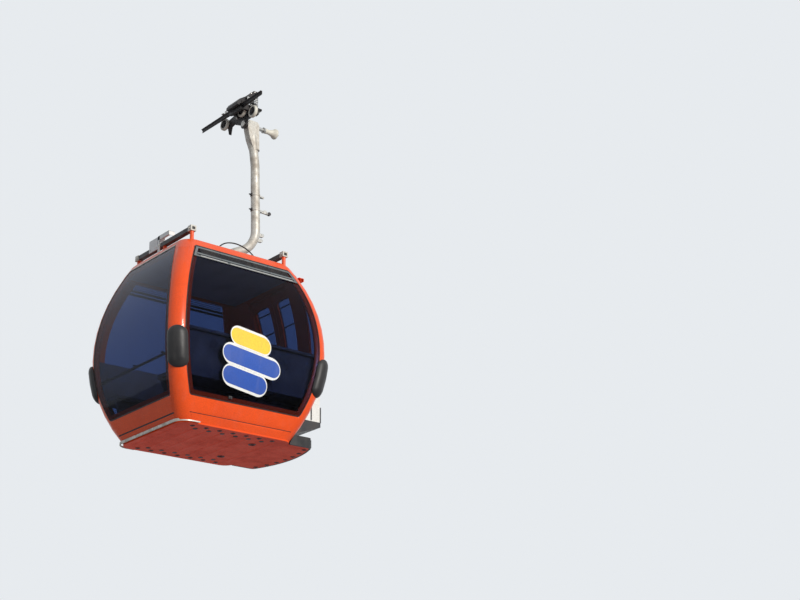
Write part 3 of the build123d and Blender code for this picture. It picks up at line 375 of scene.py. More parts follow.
link(tree, (tint, shader.inputs["Base Color"]), (haze, shader.inputs["Roughness"]),
     (unseen, mix.inputs["Fac"]), (shader.outputs[0], mix.inputs[1]), (clear.outputs[0], mix.inputs[2]),
     (mix.outputs[0], tree.nodes["Material Output"].inputs["Surface"]))
print("glass tint", GLASS_TINT[:3])

# %% [markdown]
# ## Dressing the CAD pieces
# Every CAD node gets the finish of its slot. Its mesh is loose triangles, so its curves look faceted, and
# the frame may not be changed. A copy that is merged, shaded smooth and kept sharp at real edges stands
# for it where it curves.

# %% Give each node its finish, and curved nodes a smooth copy
SLOT_OF = {row["node"]: row["material_slot"] for row in frame["record"]["subparts"]}
BODY_OF = {node: body for body, members in frame["record"]["behaviour"]["bodies"].items() for node in members}
# nodes whose paint is duller and holds painted bounce light, or whose colour follows the panel beside them
NODE_FINISH = {"floor_pan": "tray_paint_painted_bounce", "sill_plates": "tray_paint_painted_bounce", "door_track": "orange_paint"}
MERGED, TINY = 1e-5, 1e-6
SHARP_BEND = 28


def paint(obj, finish):
    """Puts a finish on an object, in place of what it has."""
    obj.data.materials.clear()
    obj.data.materials.append(FINISHES[finish])


def finish_piece(obj, slot, body, hides=(), finish=None):
    """Paints a piece, makes it ride on its body and hides the nodes that it stands for."""
    paint(obj, finish or slot)
    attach(obj, body)
    if hides:
        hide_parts(*hides)
    return obj


def smooth_object(name, bm, sharp):
    """Makes an object of a bmesh, smooth but where its faces meet at more than so many degrees."""
    mesh = bpy.data.meshes.new(name)
    bm.to_mesh(mesh)
    bm.free()
    for face in mesh.polygons:
        face.use_smooth = True
    mesh.set_sharp_from_angle(angle=radians(sharp))
    return add_object(name, mesh)


def smooth_copy(node):
    """A merged, smooth-shaded copy of a CAD node that stands for it."""
    bm = bmesh.new()
    bm.from_mesh(NODES[node].data)
    bmesh.ops.remove_doubles(bm, verts=bm.verts, dist=MERGED)
    bmesh.ops.dissolve_degenerate(bm, edges=bm.edges, dist=TINY)
    obj = smooth_object(node + "_smooth", bm, SHARP_BEND)
    obj.modifiers.new("weighted", "WEIGHTED_NORMAL").keep_sharp = True
    finish_piece(obj, SLOT_OF[node], BODY_OF[node], [node], NODE_FINISH.get(node))


for node, slot in SLOT_OF.items():
    paint(NODES[node], NODE_FINISH.get(node, slot))
CURVED = ["roof_shell", "post_front_left", "post_front_right", "post_rear_left", "post_rear_right",
          "skirt_front", "skirt_rear", "skirt_left", "door_frame", "floor_pan", "sill_edge", "hanger_tube",
          "vent_front", "vent_rear", "rail_feet", "guide_bar", "window_rail", "tube_bands", "grip_frame",
          "fixed_jaw", "rope_tongues", "grip_lever", "pivot_shaft", "hanger_head", "hanger_foot",
          "door_leaf_front", "door_leaf_rear"]
for node in CURVED:
    smooth_copy(node)
print(len(CURVED), "smooth copies of", len(SLOT_OF), "nodes")

# %% [markdown]
# ## Tools for the new pieces
# Small real parts repeat a few forms: a bar of sheet metal, a round pin, a turned part, a hexagon bolt.
# Each form gets a helper built on one bmesh operator, and a piece is a bmesh that several helpers have
# filled. The cabin's walls curve, so pieces that lie on a wall are made flat and then laid on it by a
# function that knows the wall's arc.

# %% Helpers that make a piece and join meshes
CABIN = Vector((0.0, -0.300, -4.200))
ROPE = Vector((0.0, 0.0, 0.0))
BEVEL_FROM = radians(40)


def new_piece(name, bm, slot, body="hanger", place=CABIN, hides=(), smooth=32, bevel=0.0, finish=None):
    """Makes a piece of a bmesh: moved to its place, normals outwards, smooth but for its sharp edges."""
    bmesh.ops.translate(bm, verts=bm.verts, vec=place)
    bmesh.ops.recalc_face_normals(bm, faces=bm.faces)
    obj = smooth_object(name, bm, smooth)
    if bevel:
        edges = obj.modifiers.new("soft edges", "BEVEL")
        edges.width, edges.segments = bevel, 2
        edges.limit_method, edges.angle_limit = "ANGLE", BEVEL_FROM
        edges.harden_normals = True
    return finish_piece(obj, slot, body, hides, finish)


def add_mesh(bm, part):
    """Puts one bmesh into another and frees it."""
    bmesh.ops.recalc_face_normals(part, faces=part.faces)
    mesh = bpy.data.meshes.new("part")
    part.to_mesh(mesh)
    part.free()
    bm.from_mesh(mesh)
    bpy.data.meshes.remove(mesh)


def set_at(at, axis):
    """The matrix that moves the origin to a point and turns Z along an axis."""
    return Matrix.Translation(at) @ Vector(axis).to_track_quat("Z", "Y").to_matrix().to_4x4()


print("helpers for pieces are ready")

# %% Helpers that fill a bmesh with boxes, rods, turned parts and bolts
# shares of a bolt head's radius
WASHER_RADIUS, WASHER_FOOT, WASHER_TOP = 1.45, 0.5, 0.28
HEAD_FOOT, HEAD_TOP, STUD_RADIUS, STUD_TOP = 0.2, 1.0, 0.5, 1.12


def add_boxes(bm, *boxes):
    """Boxes, each given by its reach in x, in y and in z."""
    for reaches in boxes:
        low, high = (Vector(corner) for corner in zip(*reaches))
        matrix = Matrix.Translation((low + high) / 2) @ Matrix.Diagonal((*(high - low), 1))
        bmesh.ops.create_cube(bm, size=1.0, matrix=matrix)


def add_rod(bm, start, end, radius, far_radius=None, segments=24):
    """A round bar or a cone between two points."""
    start, end = Vector(start), Vector(end)
    bmesh.ops.create_cone(bm, cap_ends=True, segments=segments, radius1=radius,
                          radius2=radius if far_radius is None else far_radius, depth=(end - start).length,
                          matrix=set_at((start + end) / 2, end - start))


def spin_about_z(bm, steps, angle=2 * pi, rise=0.0):
    """Spins what a bmesh holds about Z. A turn that doesn't climb closes on itself."""
    bmesh.ops.spin(bm, geom=bm.verts[:] + bm.edges[:], cent=(0, 0, 0), axis=(0, 0, 1), dvec=(0, 0, rise),
                   angle=angle, steps=steps, use_merge=rise == 0)


def add_turned(bm, at, axis, profile, segments=40):
    """A turned part: a profile of radius and distance along the axis, spun right round it."""
    part = bmesh.new()
    verts = [part.verts.new((radius, 0, along)) for radius, along in profile]
    for pair in zip(verts, verts[1:]):
        part.edges.new(pair)
    spin_about_z(part, segments)
    bmesh.ops.remove_doubles(part, verts=part.verts, dist=TINY)
    bmesh.ops.transform(part, matrix=set_at(at, axis), verts=part.verts)
    add_mesh(bm, part)


def add_bolts(bm, points, axis, radius, tail=0.0):
    """Hexagon heads on washers, each standing on a surface, with a threaded tail beyond it if asked."""
    axis = Vector(axis).normalized()
    for at in map(Vector, points):
        add_rod(bm, at - axis * radius * WASHER_FOOT, at + axis * radius * WASHER_TOP, radius * WASHER_RADIUS,
                segments=20)
        add_rod(bm, at + axis * radius * HEAD_FOOT, at + axis * radius * HEAD_TOP, radius, segments=6)
        add_rod(bm, at, at + axis * (radius * STUD_TOP + tail), radius * STUD_RADIUS, segments=12)


print("helpers for small parts are ready")

# %% Helpers that lay a shape on a curved wall
BULGE = 0.790
CORNER = 0.143
# peak, arc below the bulge and arc above it, along the cabin and across it
PROFILES = ((0.957, 2.1, 2.1), (1.068, 1.95, 2.35))
# the axis that a wall faces along and which way
WALLS = {"front": (0, 1), "rear": (0, -1), "door": (1, 1), "left": (1, -1)}


def half_at(axis, z, inset=0.0):
    """Half the cabin's length or width at a height, and the sine of the wall's lean there."""
    peak, low_radius, high_radius = PROFILES[axis]
    radius = (high_radius if z > BULGE else low_radius) - inset
    return peak - inset - radius + sqrt(radius ** 2 - (z - BULGE) ** 2), (z - BULGE) / radius


def on_wall(wall, across, z, proud=0.0):
    """The point of a wall at a distance across it and a height, moved outwards by proud."""
    axis, way = WALLS[wall]
    half, lean = half_at(axis, z)
    point = Vector((across, across, z + proud * lean))
    point[axis] = way * (half + proud * sqrt(1 - lean ** 2))
    return point


def thicken_inwards(part, wall, thickness):
    """Gives an open sheet on a wall its thickness, away from its outer face."""
    outwards = on_wall(wall, 0, BULGE, 1.0) - on_wall(wall, 0, BULGE)
    bmesh.ops.recalc_face_normals(part, faces=part.faces)
    if part.faces[:][0].normal.dot(outwards) < 0:
        bmesh.ops.reverse_faces(part, faces=part.faces)
    bmesh.ops.solidify(part, geom=part.faces[:] + part.edges[:] + part.verts[:], thickness=thickness)


def add_on_wall(bm, wall, across, heights, proud, cuts=10):
    """A bar of rectangular section that follows a wall."""
    part = bmesh.new()
    add_boxes(part, (across, proud, heights))
    upright = [e for e in part.edges if abs(e.verts[0].co.z - e.verts[1].co.z) > TINY]
    bmesh.ops.subdivide_edges(part, edges=upright, cuts=cuts, use_grid_fill=True)
    for vert in part.verts:
        x, y, z = vert.co
        vert.co = on_wall(wall, x, z, y)
    add_mesh(bm, part)


print("wall point", tuple(round(c, 3) for c in on_wall("front", 0.0, 1.0, 0.01)))

# %% Helpers for sheets and bands between two edges
BAND_THICKNESS, BAND_CUTS, BAND_LAP = 0.003, 18, 0.004


def wall_strip(wall, edges, inset):
    """The width of a sheet between two upright edges, and a function that lays a share of it on the wall. An
    edge that is None follows the corner post, at an inset from its arc."""
    other = 1 - WALLS[wall][0]

    def edge_at(side, z):
        if edges[side] is not None:
            return edges[side]
        return (2 * side - 1) * half_at(other, z, inset)[0]

    def lay(share, z, proud):
        return on_wall(wall, edge_at(0, z) * (1 - share) + edge_at(1, z) * share, z, proud)

    return edge_at(1, BULGE) - edge_at(0, BULGE), lay


def add_band(bm, wall, low, high, edges, profile, corner=0.03):
    """A closed band round a window. The profile is pairs: how far in from the outer edge, how far out from
    the wall."""
    width, lay = wall_strip(wall, edges, CORNER - BAND_LAP)
    part = bmesh.new()
    matrix = Matrix.Translation((0, (low + high) / 2, 0)) @ Matrix.Diagonal((width, high - low, 1, 1))
    bmesh.ops.create_grid(part, x_segments=1, y_segments=1, size=0.5, matrix=matrix)
    bmesh.ops.bevel(part, geom=part.verts[:], offset=corner, offset_type="OFFSET", segments=5, profile=0.5,
                    affect="VERTICES", material=-1)
    long_edges = [e for e in part.edges if e.calc_length() > 2 * corner]
    bmesh.ops.subdivide_edges(part, edges=long_edges, cuts=BAND_CUTS)
    height = part.verts.layers.float.new("height")
    face = part.faces[:][0]
    done, proud = profile[0]
    for vert in part.verts:
        vert[height] = proud
    for inset, proud in profile[1:]:
        bmesh.ops.inset_region(part, faces=[face], thickness=inset - done, use_even_offset=True,
                               use_boundary=True)
        for vert in face.verts:
            vert[height] = proud
        done = inset
    bmesh.ops.delete(part, geom=[face], context="FACES")
    for vert in part.verts:
        vert.co = lay(vert.co.x / width + 0.5, vert.co.y, vert[height])
    thicken_inwards(part, wall, BAND_THICKNESS)
    add_mesh(bm, part)


print("helpers for sheets and bands are ready")

# %% [markdown]
# ## The cable on the roof
# A black cable comes out of the roof beside the hanger's foot, stands in a low arch and goes back in. It
# is held by a gland at each end. A NURBS curve with a round bevel is the plain way to make a cable,
# because its line stays smooth.

# %% Lay the cable and its glands
CABLE_X = 0.20
CABLE_DIAMETER = 0.016
ROOF_Z = 1.994
CABLE_ROUTE = [(-0.085, ROOF_Z - 0.010), (-0.080, ROOF_Z + 0.050), (-0.040, 2.130), (0.060, 2.215),
               (0.200, 2.245), (0.340, 2.225), (0.460, 2.165), (0.530, 2.080), (0.548, ROOF_Z + 0.040),
               (0.550, ROOF_Z - 0.022)]
# the nut and the sleeve of a gland: foot, top, radius and far radius
GLAND_NUT, GLAND_SLEEVE = (-0.004, 0.020, 0.021, 0.021), (0.018, 0.040, 0.016, 0.010)
curve = bpy.data.curves.new("roof_cable", "CURVE")
curve.dimensions = "3D"
spline = curve.splines.new("NURBS")
spline.points.add(len(CABLE_ROUTE) - 1)
for point, (y, z) in zip(spline.points, CABLE_ROUTE):
    point.co = (*(CABIN + Vector((CABLE_X, y, z))), 1)
spline.use_endpoint_u = True
spline.order_u = 3
spline.resolution_u = 12
curve.bevel_depth = CABLE_DIAMETER / 2
curve.bevel_resolution = 4
curve.use_fill_caps = True
cable = add_object("roof_cable", curve)
finish_piece(cable, "dark_rubber", "hanger")
bm = bmesh.new()
for y, z in (CABLE_ROUTE[0], CABLE_ROUTE[-1]):
    for (foot, top, radius, far_radius), sides in ((GLAND_NUT, 6), (GLAND_SLEEVE, 20)):
        add_rod(bm, (CABLE_X, y, z + foot), (CABLE_X, y, z + top), radius, far_radius, segments=sides)
new_piece("cable_glands", bm, "dark_rubber", bevel=0.0015)
print("cable of", len(CABLE_ROUTE), "points")

# %% [markdown]
# ## The panes
# Each window is one sheet of curved glazing with rounded corners. It is a grid laid on the wall's arc and
# given its thickness by the solidify operator. It lies a hair inside the CAD pane, so that it doesn't
# share a face with the metal behind it, which would show as a pattern of dots. Rows near the edge are
# drawn close, to round the corners.

# %% Lay the panes
PANE_EDGE_CELLS, PANE_ROWS, PANE_INSET = 0.1, 40, 0.0035


def spread(share, size, corner):
    """Where a share of the way across falls, with a tenth of the cells in each corner's width."""
    near = min(share, 1 - share)
    if near < PANE_EDGE_CELLS:
        reach = near / PANE_EDGE_CELLS * corner
    else:
        reach = corner + (near - PANE_EDGE_CELLS) / (0.5 - PANE_EDGE_CELLS) * (size / 2 - corner)
    return reach - size / 2 if share < 0.5 else size / 2 - reach


def add_pane(bm, wall, low, high, edges, corner=0.03, recess=0.0003, thickness=0.0072, columns=30):
    """A curved pane on a wall. An edge that is None follows the corner post."""
    width, lay = wall_strip(wall, edges, CORNER + PANE_INSET)
    height = high - low
    part = bmesh.new()
    bmesh.ops.create_grid(part, x_segments=columns, y_segments=PANE_ROWS, size=0.5)
    for vert in part.verts:
        u, v = spread(vert.co.x + 0.5, width, corner), spread(vert.co.y + 0.5, height, corner)
        a, b = abs(u) - (width / 2 - corner), abs(v) - (height / 2 - corner)
        if a > 0 and b > 0:
            shrink = max(a, b) / sqrt(a * a + b * b)
            u = (width / 2 - corner + a * shrink) * (1 if u > 0 else -1)
            v = (height / 2 - corner + b * shrink) * (1 if v > 0 else -1)
        vert.co = lay(u / width + 0.5, (low + high) / 2 + v, -recess)
    thicken_inwards(part, wall, thickness)
    add_mesh(bm, part)


def on_side(way, near, far):
    """A reach on one side of the middle, its low end first."""
    return sorted((way * near, way * far))


WINDOW_LOW, WINDOW_HIGH, JAMB = 0.0, 1.840, 0.560
# beside the doors the corner post runs into the door frame, so the panes end lower
SIDE_PANE_HIGH = 1.728
GAP = 0.0005
LEAVES = (("door_front", 1), ("door_rear", -1))
LEAF_WINDOW, LEAF_CORNER = (0.085, 0.363, 0.022, 1.670), 0.045
LEAF_PANE_FACE, LEAF_PANE_THICKNESS = 0.027, 0.006
# node, wall, top and the edges of each sheet
PANES = (("window_front", "front", WINDOW_HIGH, ((None, None),)),
         ("window_rear", "rear", WINDOW_HIGH, ((None, None),)),
         ("window_left", "left", WINDOW_HIGH, ((None, None),)),
         ("panes_door_side", "door", SIDE_PANE_HIGH, ((JAMB + GAP, None), (None, -JAMB - GAP))))
for node, wall, top, sheets in PANES:
    bm = bmesh.new()
    for edges in sheets:
        add_pane(bm, wall, WINDOW_LOW + GAP, top - GAP, edges)
    new_piece(node + "_pane", bm, "tinted_glass", hides=[node], smooth=50)
for body, way in LEAVES:
    start, end, low, high = LEAF_WINDOW
    node = body.replace("door", "door_glass")
    bm = bmesh.new()
    add_pane(bm, "door", low + GAP, high - GAP, on_side(way, start + GAP, end - GAP), LEAF_CORNER,
             -LEAF_PANE_FACE, LEAF_PANE_THICKNESS, columns=20)
    new_piece(node + "_pane", bm, "tinted_glass", body=body, hides=[node], smooth=50)
print("six panes laid")

# %% [markdown]
# ## Rubber seals
# Every pane sits in a black rubber bead, and each door leaf has a bead of its own and a soft edge where
# the two leaves meet. A bead is one face inset three times, with the middle loops raised, then laid on the
# wall's arc. That keeps an even width round the corners, which a swept curve would lose where the outline
# turns.

# %% Seal the panes
BEAD = ((0.0, -0.0010), (0.0030, 0.0038), (0.0095, 0.0038), (0.0130, 0.0002))
LAP = 0.0065
SIDE_SEAL_HIGH = SIDE_PANE_HIGH - 0.020
bm = bmesh.new()
for wall, top, edges in (("front", WINDOW_HIGH, (None, None)), ("rear", WINDOW_HIGH, (None, None)),
                         ("left", WINDOW_HIGH, (None, None)), ("door", SIDE_SEAL_HIGH, (JAMB - LAP, None)),
                         ("door", SIDE_SEAL_HIGH, (None, LAP - JAMB))):
    add_band(bm, wall, WINDOW_LOW - LAP, top + LAP, edges, BEAD)
print(len(bm.faces), "faces in the window seals")
new_piece("window_seals", bm, "dark_rubber")

# %% Seal the door leaves
LEAF_FACE = 0.040
LEAF_BEAD = tuple((inset, LEAF_FACE + proud) for inset, proud in BEAD)
# the soft edge where the leaves meet: across, up and out from the wall
MEETING_ACROSS, MEETING_UP = (0.0035, 0.016), (-0.120, 1.745)
MEETING_OUT = (LEAF_FACE - 0.001, LEAF_FACE + 0.005)
for body, way in LEAVES:
    start, end, low, high = LEAF_WINDOW
    bm = bmesh.new()
    add_band(bm, "door", low - LAP, high + LAP, on_side(way, start - LAP, end + LAP), LEAF_BEAD, LEAF_CORNER)
    add_on_wall(bm, "door", on_side(way, *MEETING_ACROSS), MEETING_UP, MEETING_OUT)
    new_piece(body + "_seals", bm, "dark_rubber", body=body)
print("seals on both leaves")

# %% [markdown]
# ## Corner bumpers
# Each corner carries a long black rubber pad that keeps cabins apart in the station. It is a domed
# capsule bent round the corner. The shape starts as a sphere, its halves are pulled apart to a capsule,
# and every point is then laid round the corner's arc, the dome standing proud of the paint.

# %% Make the four bumpers
BUMPER_MIDDLE, BUMPER_STRAIGHT, BUMPER_CAP = 0.485, 0.125, 0.105
BUMPER_HALF, BUMPER_ASIDE = 0.124, 0.020
BUMPER_PROUD, BUMPER_FLATNESS, BUMPER_BACK = 0.052, 0.85, 0.004


def round_corner(across, z, proud):
    """The point at a distance round the front right corner from its middle, at a height, moved outwards."""
    centre = Vector((half_at(0, z)[0] - CORNER, half_at(1, z)[0] - CORNER, z))
    quarter = CORNER * pi / 4
    bent = max(-quarter, min(quarter, across))
    turn = bent / CORNER + pi / 4
    outwards, along = Vector((cos(turn), sin(turn), 0)), Vector((-sin(turn), cos(turn), 0))
    return centre + outwards * (CORNER + proud) + along * (across - bent)


def pulled_apart(value, apart):
    """How far a point of a sphere moves as its two halves are pulled apart."""
    return apart * (1 if value > TINY else -1 if value < -TINY else 0)


bm = bmesh.new()
for flip_x in (1, -1):
    for flip_y in (1, -1):
        part = bmesh.new()
        bmesh.ops.create_uvsphere(part, u_segments=36, v_segments=24, radius=1.0,
                                  matrix=Matrix.Rotation(pi / 2, 4, "X"))
        for vert in part.verts:
            x, y, z = vert.co
            proud = BUMPER_PROUD * y ** BUMPER_FLATNESS if y > 0 else BUMPER_BACK * y
            height = BUMPER_MIDDLE + z * BUMPER_CAP + pulled_apart(z, BUMPER_STRAIGHT)
            point = round_corner(x * BUMPER_HALF - BUMPER_ASIDE, height, proud)
            vert.co = Vector((flip_x * point.x, flip_y * point.y, point.z))
        add_mesh(bm, part)
print(len(bm.faces), "faces in the bumpers")
new_piece("bumper_pads", bm, "dark_rubber", hides=["bumpers"], smooth=80)

# %% [markdown]
# ## Vents over the end windows
# A frame of grey sheet covers a long slot at the top of each end window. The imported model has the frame
# and its two openings. Here it gets the pale sliding strip below, in two lengths, thin louvres in the
# long opening and screws.

# %% Dress the vents
STRIP, STRIP_REACHES, STRIP_THICKNESS = (1.664, 1.681), ((-0.640, -0.272), (-0.236, 0.655)), 0.005
VENT_FACE = 0.009
LOUVRES, LOUVRE_HEIGHT, LOUVRE_REACH, LOUVRE_OUT = (1.737, 1.757, 1.777), 0.007, (-0.62, 0.62), (0.001, 0.008)
SCREWS_ACROSS, SCREWS_UP = (-0.68, -0.34, 0.0, 0.34, 0.66), (1.712, 1.809)
SCREW_HEIGHT, SCREW_RADIUS, SCREW_TOP = 0.003, 0.006, 0.004
bm = bmesh.new()
dark = bmesh.new()
for wall in ("front", "rear"):
    for reach in STRIP_REACHES:
        add_on_wall(bm, wall, reach, STRIP, (VENT_FACE, VENT_FACE + STRIP_THICKNESS), cuts=2)
    for z in LOUVRES:
        add_on_wall(dark, wall, LOUVRE_REACH, (z, z + LOUVRE_HEIGHT), LOUVRE_OUT, cuts=1)
    for across, z in product(SCREWS_ACROSS, SCREWS_UP):
        at = on_wall(wall, across, z, VENT_FACE)
        outwards = (on_wall(wall, across, z, 1.0) - at).normalized()
        add_rod(dark, at, at + outwards * SCREW_HEIGHT, SCREW_RADIUS, SCREW_TOP, segments=12)
new_piece("vent_strips", bm, "bright_steel", bevel=0.001)
new_piece("vent_louvres", dark, "dark_steel")
print("vents dressed")

# %% [markdown]
# ## The roof: trim, rails and plates
# Two dark channels run along the roof on short orange posts, with light clamps at their ends. White
# folded plates stand on the left one, and a thin light trim closes the roof's edge over the side windows.

# %% Trim the roof, and lay dark strips of painted shade in the skirts' grooves
TRIM_REACH, TRIM_UP, TRIM_OUT = (-0.50, 0.515), (1.850, 1.860), (0.0, 0.005)
GROOVE_SHADE_TOP, GROOVE_SHADE_OUT = -0.1690, (-0.0055, 0.0006)
# wall, half its length and the foot of its strip of painted groove shade
GROOVE_SHADE_STRIPS = (("front", 0.685, -0.1750), ("rear", 0.685, -0.1750), ("left", 0.590, -0.1830))
bm = bmesh.new()
for wall in ("left", "door"):
    add_on_wall(bm, wall, TRIM_REACH, TRIM_UP, TRIM_OUT, cuts=1)
new_piece("roof_trim", bm, "bright_steel", bevel=0.001)
# the dark strips in the skirts' grooves are painted shade, standing for the shade inside each groove
bm = bmesh.new()
for wall, half, low in GROOVE_SHADE_STRIPS:
    add_on_wall(bm, wall, (-half, half), (low, GROOVE_SHADE_TOP), GROOVE_SHADE_OUT, cuts=1)
new_piece("skirt_groove_shade", bm, "dark_rubber")
print("trim and joints laid")

# %% Dress the rails and fold the plates
RAIL_SIDES, RAIL_Z, RAIL_TOP, RAIL_END = (-0.654, 0.654), 2.076, 2.102, 0.620
PLUG_HALF, PLUG_HEIGHTS, PLUG_ENDS = 0.020, (2.059, 2.093), (RAIL_END + 0.001, RAIL_END + 0.005)
FOOT_X, CAP_SIDE, CAP_TOP, CAP_BOLT, PLATE_BOLT = 0.588, 0.037, 2.109, 0.011, 0.008
PLATE_BOLTS_AT = ((-0.270, -0.688), (-0.150, -0.688), (-0.080, -0.696))
bm = bmesh.new()
for way, y in product((-1, 1), RAIL_SIDES):
    add_boxes(bm, (on_side(way, *PLUG_ENDS), (y - PLUG_HALF, y + PLUG_HALF), PLUG_HEIGHTS))
new_piece("rail_plugs", bm, "black_casting")
# a plate's place: its outer face, its top and how far its fold reaches back
FACE_A, TOP_A, FACE_B, TOP_B, BACK = -0.690, 2.198, -0.696, 2.199, -0.620
# the flats of both plates: reach in x, y and z
PLATES = (((-0.305, -0.115), (FACE_A, -0.685), (RAIL_TOP - 0.060, TOP_A)),
          ((-0.305, -0.115), (FACE_A, BACK), (2.193, TOP_A)),
          ((-0.120, -0.115), (FACE_A, BACK), (RAIL_TOP, TOP_A)),
          ((-0.100, -0.060), (FACE_B, FACE_A), (1.985, TOP_B)),
          ((-0.065, -0.060), (FACE_B, -0.686), (1.985, TOP_B)),
          ((-0.100, 0.140), (FACE_B, FACE_A), (2.146, TOP_B)),
          ((-0.100, 0.140), (FACE_B, -0.610), (2.194, TOP_B)),
          ((0.135, 0.140), (FACE_B, -0.610), (2.146, TOP_B)),
          ((-0.065, -0.060), (FACE_B, BACK), (RAIL_TOP, TOP_B)))
bm = bmesh.new()
add_boxes(bm, *PLATES)
new_piece("roof_plates", bm, "white_board", bevel=0.0015, finish="film_white")
bm = bmesh.new()
for x, y in product((-FOOT_X, FOOT_X), RAIL_SIDES):
    for way in (-1, 1):
        add_bolts(bm, [(x, y + way * CAP_SIDE, RAIL_Z)], (0, way, 0), CAP_BOLT)
    add_bolts(bm, [(x, y, CAP_TOP)], (0, 0, 1), CAP_BOLT)
for x, y in PLATE_BOLTS_AT:
    add_bolts(bm, [(x, y, RAIL_Z)], (0, -1, 0), PLATE_BOLT)
new_piece("rail_bolts", bm, "bright_steel")
print("roof dressed")

# %% [markdown]
# ## The hanger: bands, bolts and welds
# The hanger is a bent galvanised tube. Two clamp bands with long bolts hold a lead, two lugs carry a
# ladder hook, and a foot with four bolts ties it to the roof. Weld beads run round where the tube meets
# the head and the foot. A weld is a thin ring with a rippled surface, made by spinning a small circle and
# moving each ring of it in and out.

# %% Bolts and pins of the hanger
TUBE = 0.057
# a band's height, the tube's middle there and the end of its long bolt
BANDS = ((3.070, 0.6270, 0.720), (2.867, 0.6322, 0.800))
LUG_X, LUG_HALF_X, LUG_HALF_Z, LUG_DEPTH, LUG_REACH = 0.020, 0.004, 0.012, 0.006, 0.030
ARM_HALF, ARM_HEIGHTS, ARM_LENGTH = 0.006, (2.857, 2.893), 0.100
FOOT_BOLTS, FOOT_TOP = ((-0.085, 0.085), (-0.115, 0.115)), 2.012
# the two pins of the ladder hook
HOOK_PINS, HOOK_ARM, HOOK_HALF_X, HOOK_HALF_Z = ((0.738, 2.547), (0.720, 2.474)), 0.075, 0.013, 0.024
bm = bmesh.new()
dark = bmesh.new()
for z, y, end in BANDS:
    add_bolts(bm, [(0, end, z)], (0, 1, 0), 0.013, tail=0.012)
    add_rod(bm, (0, y + TUBE, z), (0, end, z), 0.007, segments=16)
    for x in (-LUG_X, LUG_X):
        add_boxes(bm, ((x - LUG_HALF_X, x + LUG_HALF_X), (y + TUBE - LUG_DEPTH, y + TUBE + LUG_REACH),
                       (z - LUG_HALF_Z, z + LUG_HALF_Z)))
    add_bolts(dark, [(0, y - TUBE - 0.004, z)], (0, -1, 0), 0.016, tail=0.018)
arm_y = BANDS[1][1] + TUBE
add_boxes(bm, ((-ARM_HALF, ARM_HALF), (arm_y, arm_y + ARM_LENGTH), ARM_HEIGHTS))
for part, half, out, z, radius in ((bm, 0.012, 0.085, 2.880, 0.026), (dark, 0.015, 0.148, 2.872, 0.024)):
    add_rod(part, (-half, arm_y + out, z), (half, arm_y + out, z), radius, segments=20)
add_bolts(bm, product(*FOOT_BOLTS, (FOOT_TOP,)), (0, 0, 1), 0.016, tail=0.010)
for y, z in HOOK_PINS:
    add_boxes(bm, ((-HOOK_HALF_X, HOOK_HALF_X), (y - HOOK_ARM, y), (z - HOOK_HALF_Z, z + HOOK_HALF_Z)))
    add_rod(bm, (-0.018, y, z), (0.018, y, z), 0.022, segments=16)
new_piece("hanger_bolts", bm, "bright_steel", bevel=0.0015)
new_piece("hanger_dark_bolts", dark, "dark_steel", bevel=0.0015)
print("hanger's bolts in place")

# %% Welds of the hanger
WELD_BEAD, WELD_RIPPLES, WELD_RIPPLE = 0.005, 60, 0.0012


def add_section(bm, radius, wire, segments):
    """The round section of a ring or a coil, at its radius and ready to be spun."""
    bmesh.ops.create_circle(bm, segments=segments, radius=wire,
                            matrix=Matrix.Translation((radius, 0, 0)) @ Matrix.Rotation(pi / 2, 4, "X"))


def add_weld(bm, at, axis):
    """A rippled ring of weld round the tube."""
    part = bmesh.new()
    add_section(part, TUBE + 0.002, WELD_BEAD, 8)
    spin_about_z(part, 2 * WELD_RIPPLES)
    for vert in part.verts:
        turn = Vector(vert.co.xy).angle_signed(Vector((1, 0)), 0.0)
        vert.co.z += WELD_RIPPLE * sin(turn * WELD_RIPPLES)
    bmesh.ops.transform(part, matrix=set_at(at, axis), verts=part.verts)
    add_mesh(bm, part)


bm = bmesh.new()
add_weld(bm, (0, 0.098, 2.092), (0, 1, 0))
add_weld(bm, (0, 0.6020, 3.690), (0, -0.10, 1))
new_piece("hanger_welds", bm, "galvanised_steel")
print("hanger dressed")

# %% [markdown]
# ## The guide roller
# A turned roller on the end of the pivot shaft runs on a rail in the station. It is a turned part: its
# profile from the narrow neck to the broad flange is spun round the shaft, and a nut with a washer holds
# it.

# %% Turn the roller and its nut
ROLLER_Y, ROLLER_Z, NUT_Y = 0.452, -0.178, 0.634
BORE, NECK, SHANK, FLANGE = 0.0160, 0.034, 0.031, 0.068
ROLLER_PROFILE = [(BORE, 0.0), (0.030, 0.0), (NECK, 0.004), (NECK, 0.020), (SHANK, 0.026), (SHANK, 0.060),
                  (0.036, 0.086), (0.046, 0.112), (0.058, 0.134), (0.0665, 0.146), (FLANGE, 0.151),
                  (FLANGE, 0.168), (0.065, 0.173), (0.050, 0.174), (0.046, 0.168), (0.030, 0.168),
                  (BORE, 0.168), (BORE, 0.0)]
bm = bmesh.new()
add_turned(bm, (0, ROLLER_Y, ROLLER_Z), (0, 1, 0), ROLLER_PROFILE, segments=56)
new_piece("guide_roller_turned", bm, "pale_roller", body="guide_roller", place=ROPE, hides=["guide_roller"],
          smooth=40)
bm = bmesh.new()
add_bolts(bm, [(0, NUT_Y, ROLLER_Z)], (0, 1, 0), 0.022, tail=0.006)
add_rod(bm, (0, 0.424, ROLLER_Z), (0, ROLLER_Y - 0.001, ROLLER_Z), 0.040, 0.034, segments=32)
new_piece("roller_nut", bm, "bright_steel", place=ROPE, bevel=0.0015)
print("roller turned")

# %% [markdown]
# ## The grip's wheels
# Three wheels carry the grip where it leaves the rope in the station. Each has a dark steel hub and a
# thick pale tread. Both are turned parts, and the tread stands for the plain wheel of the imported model.

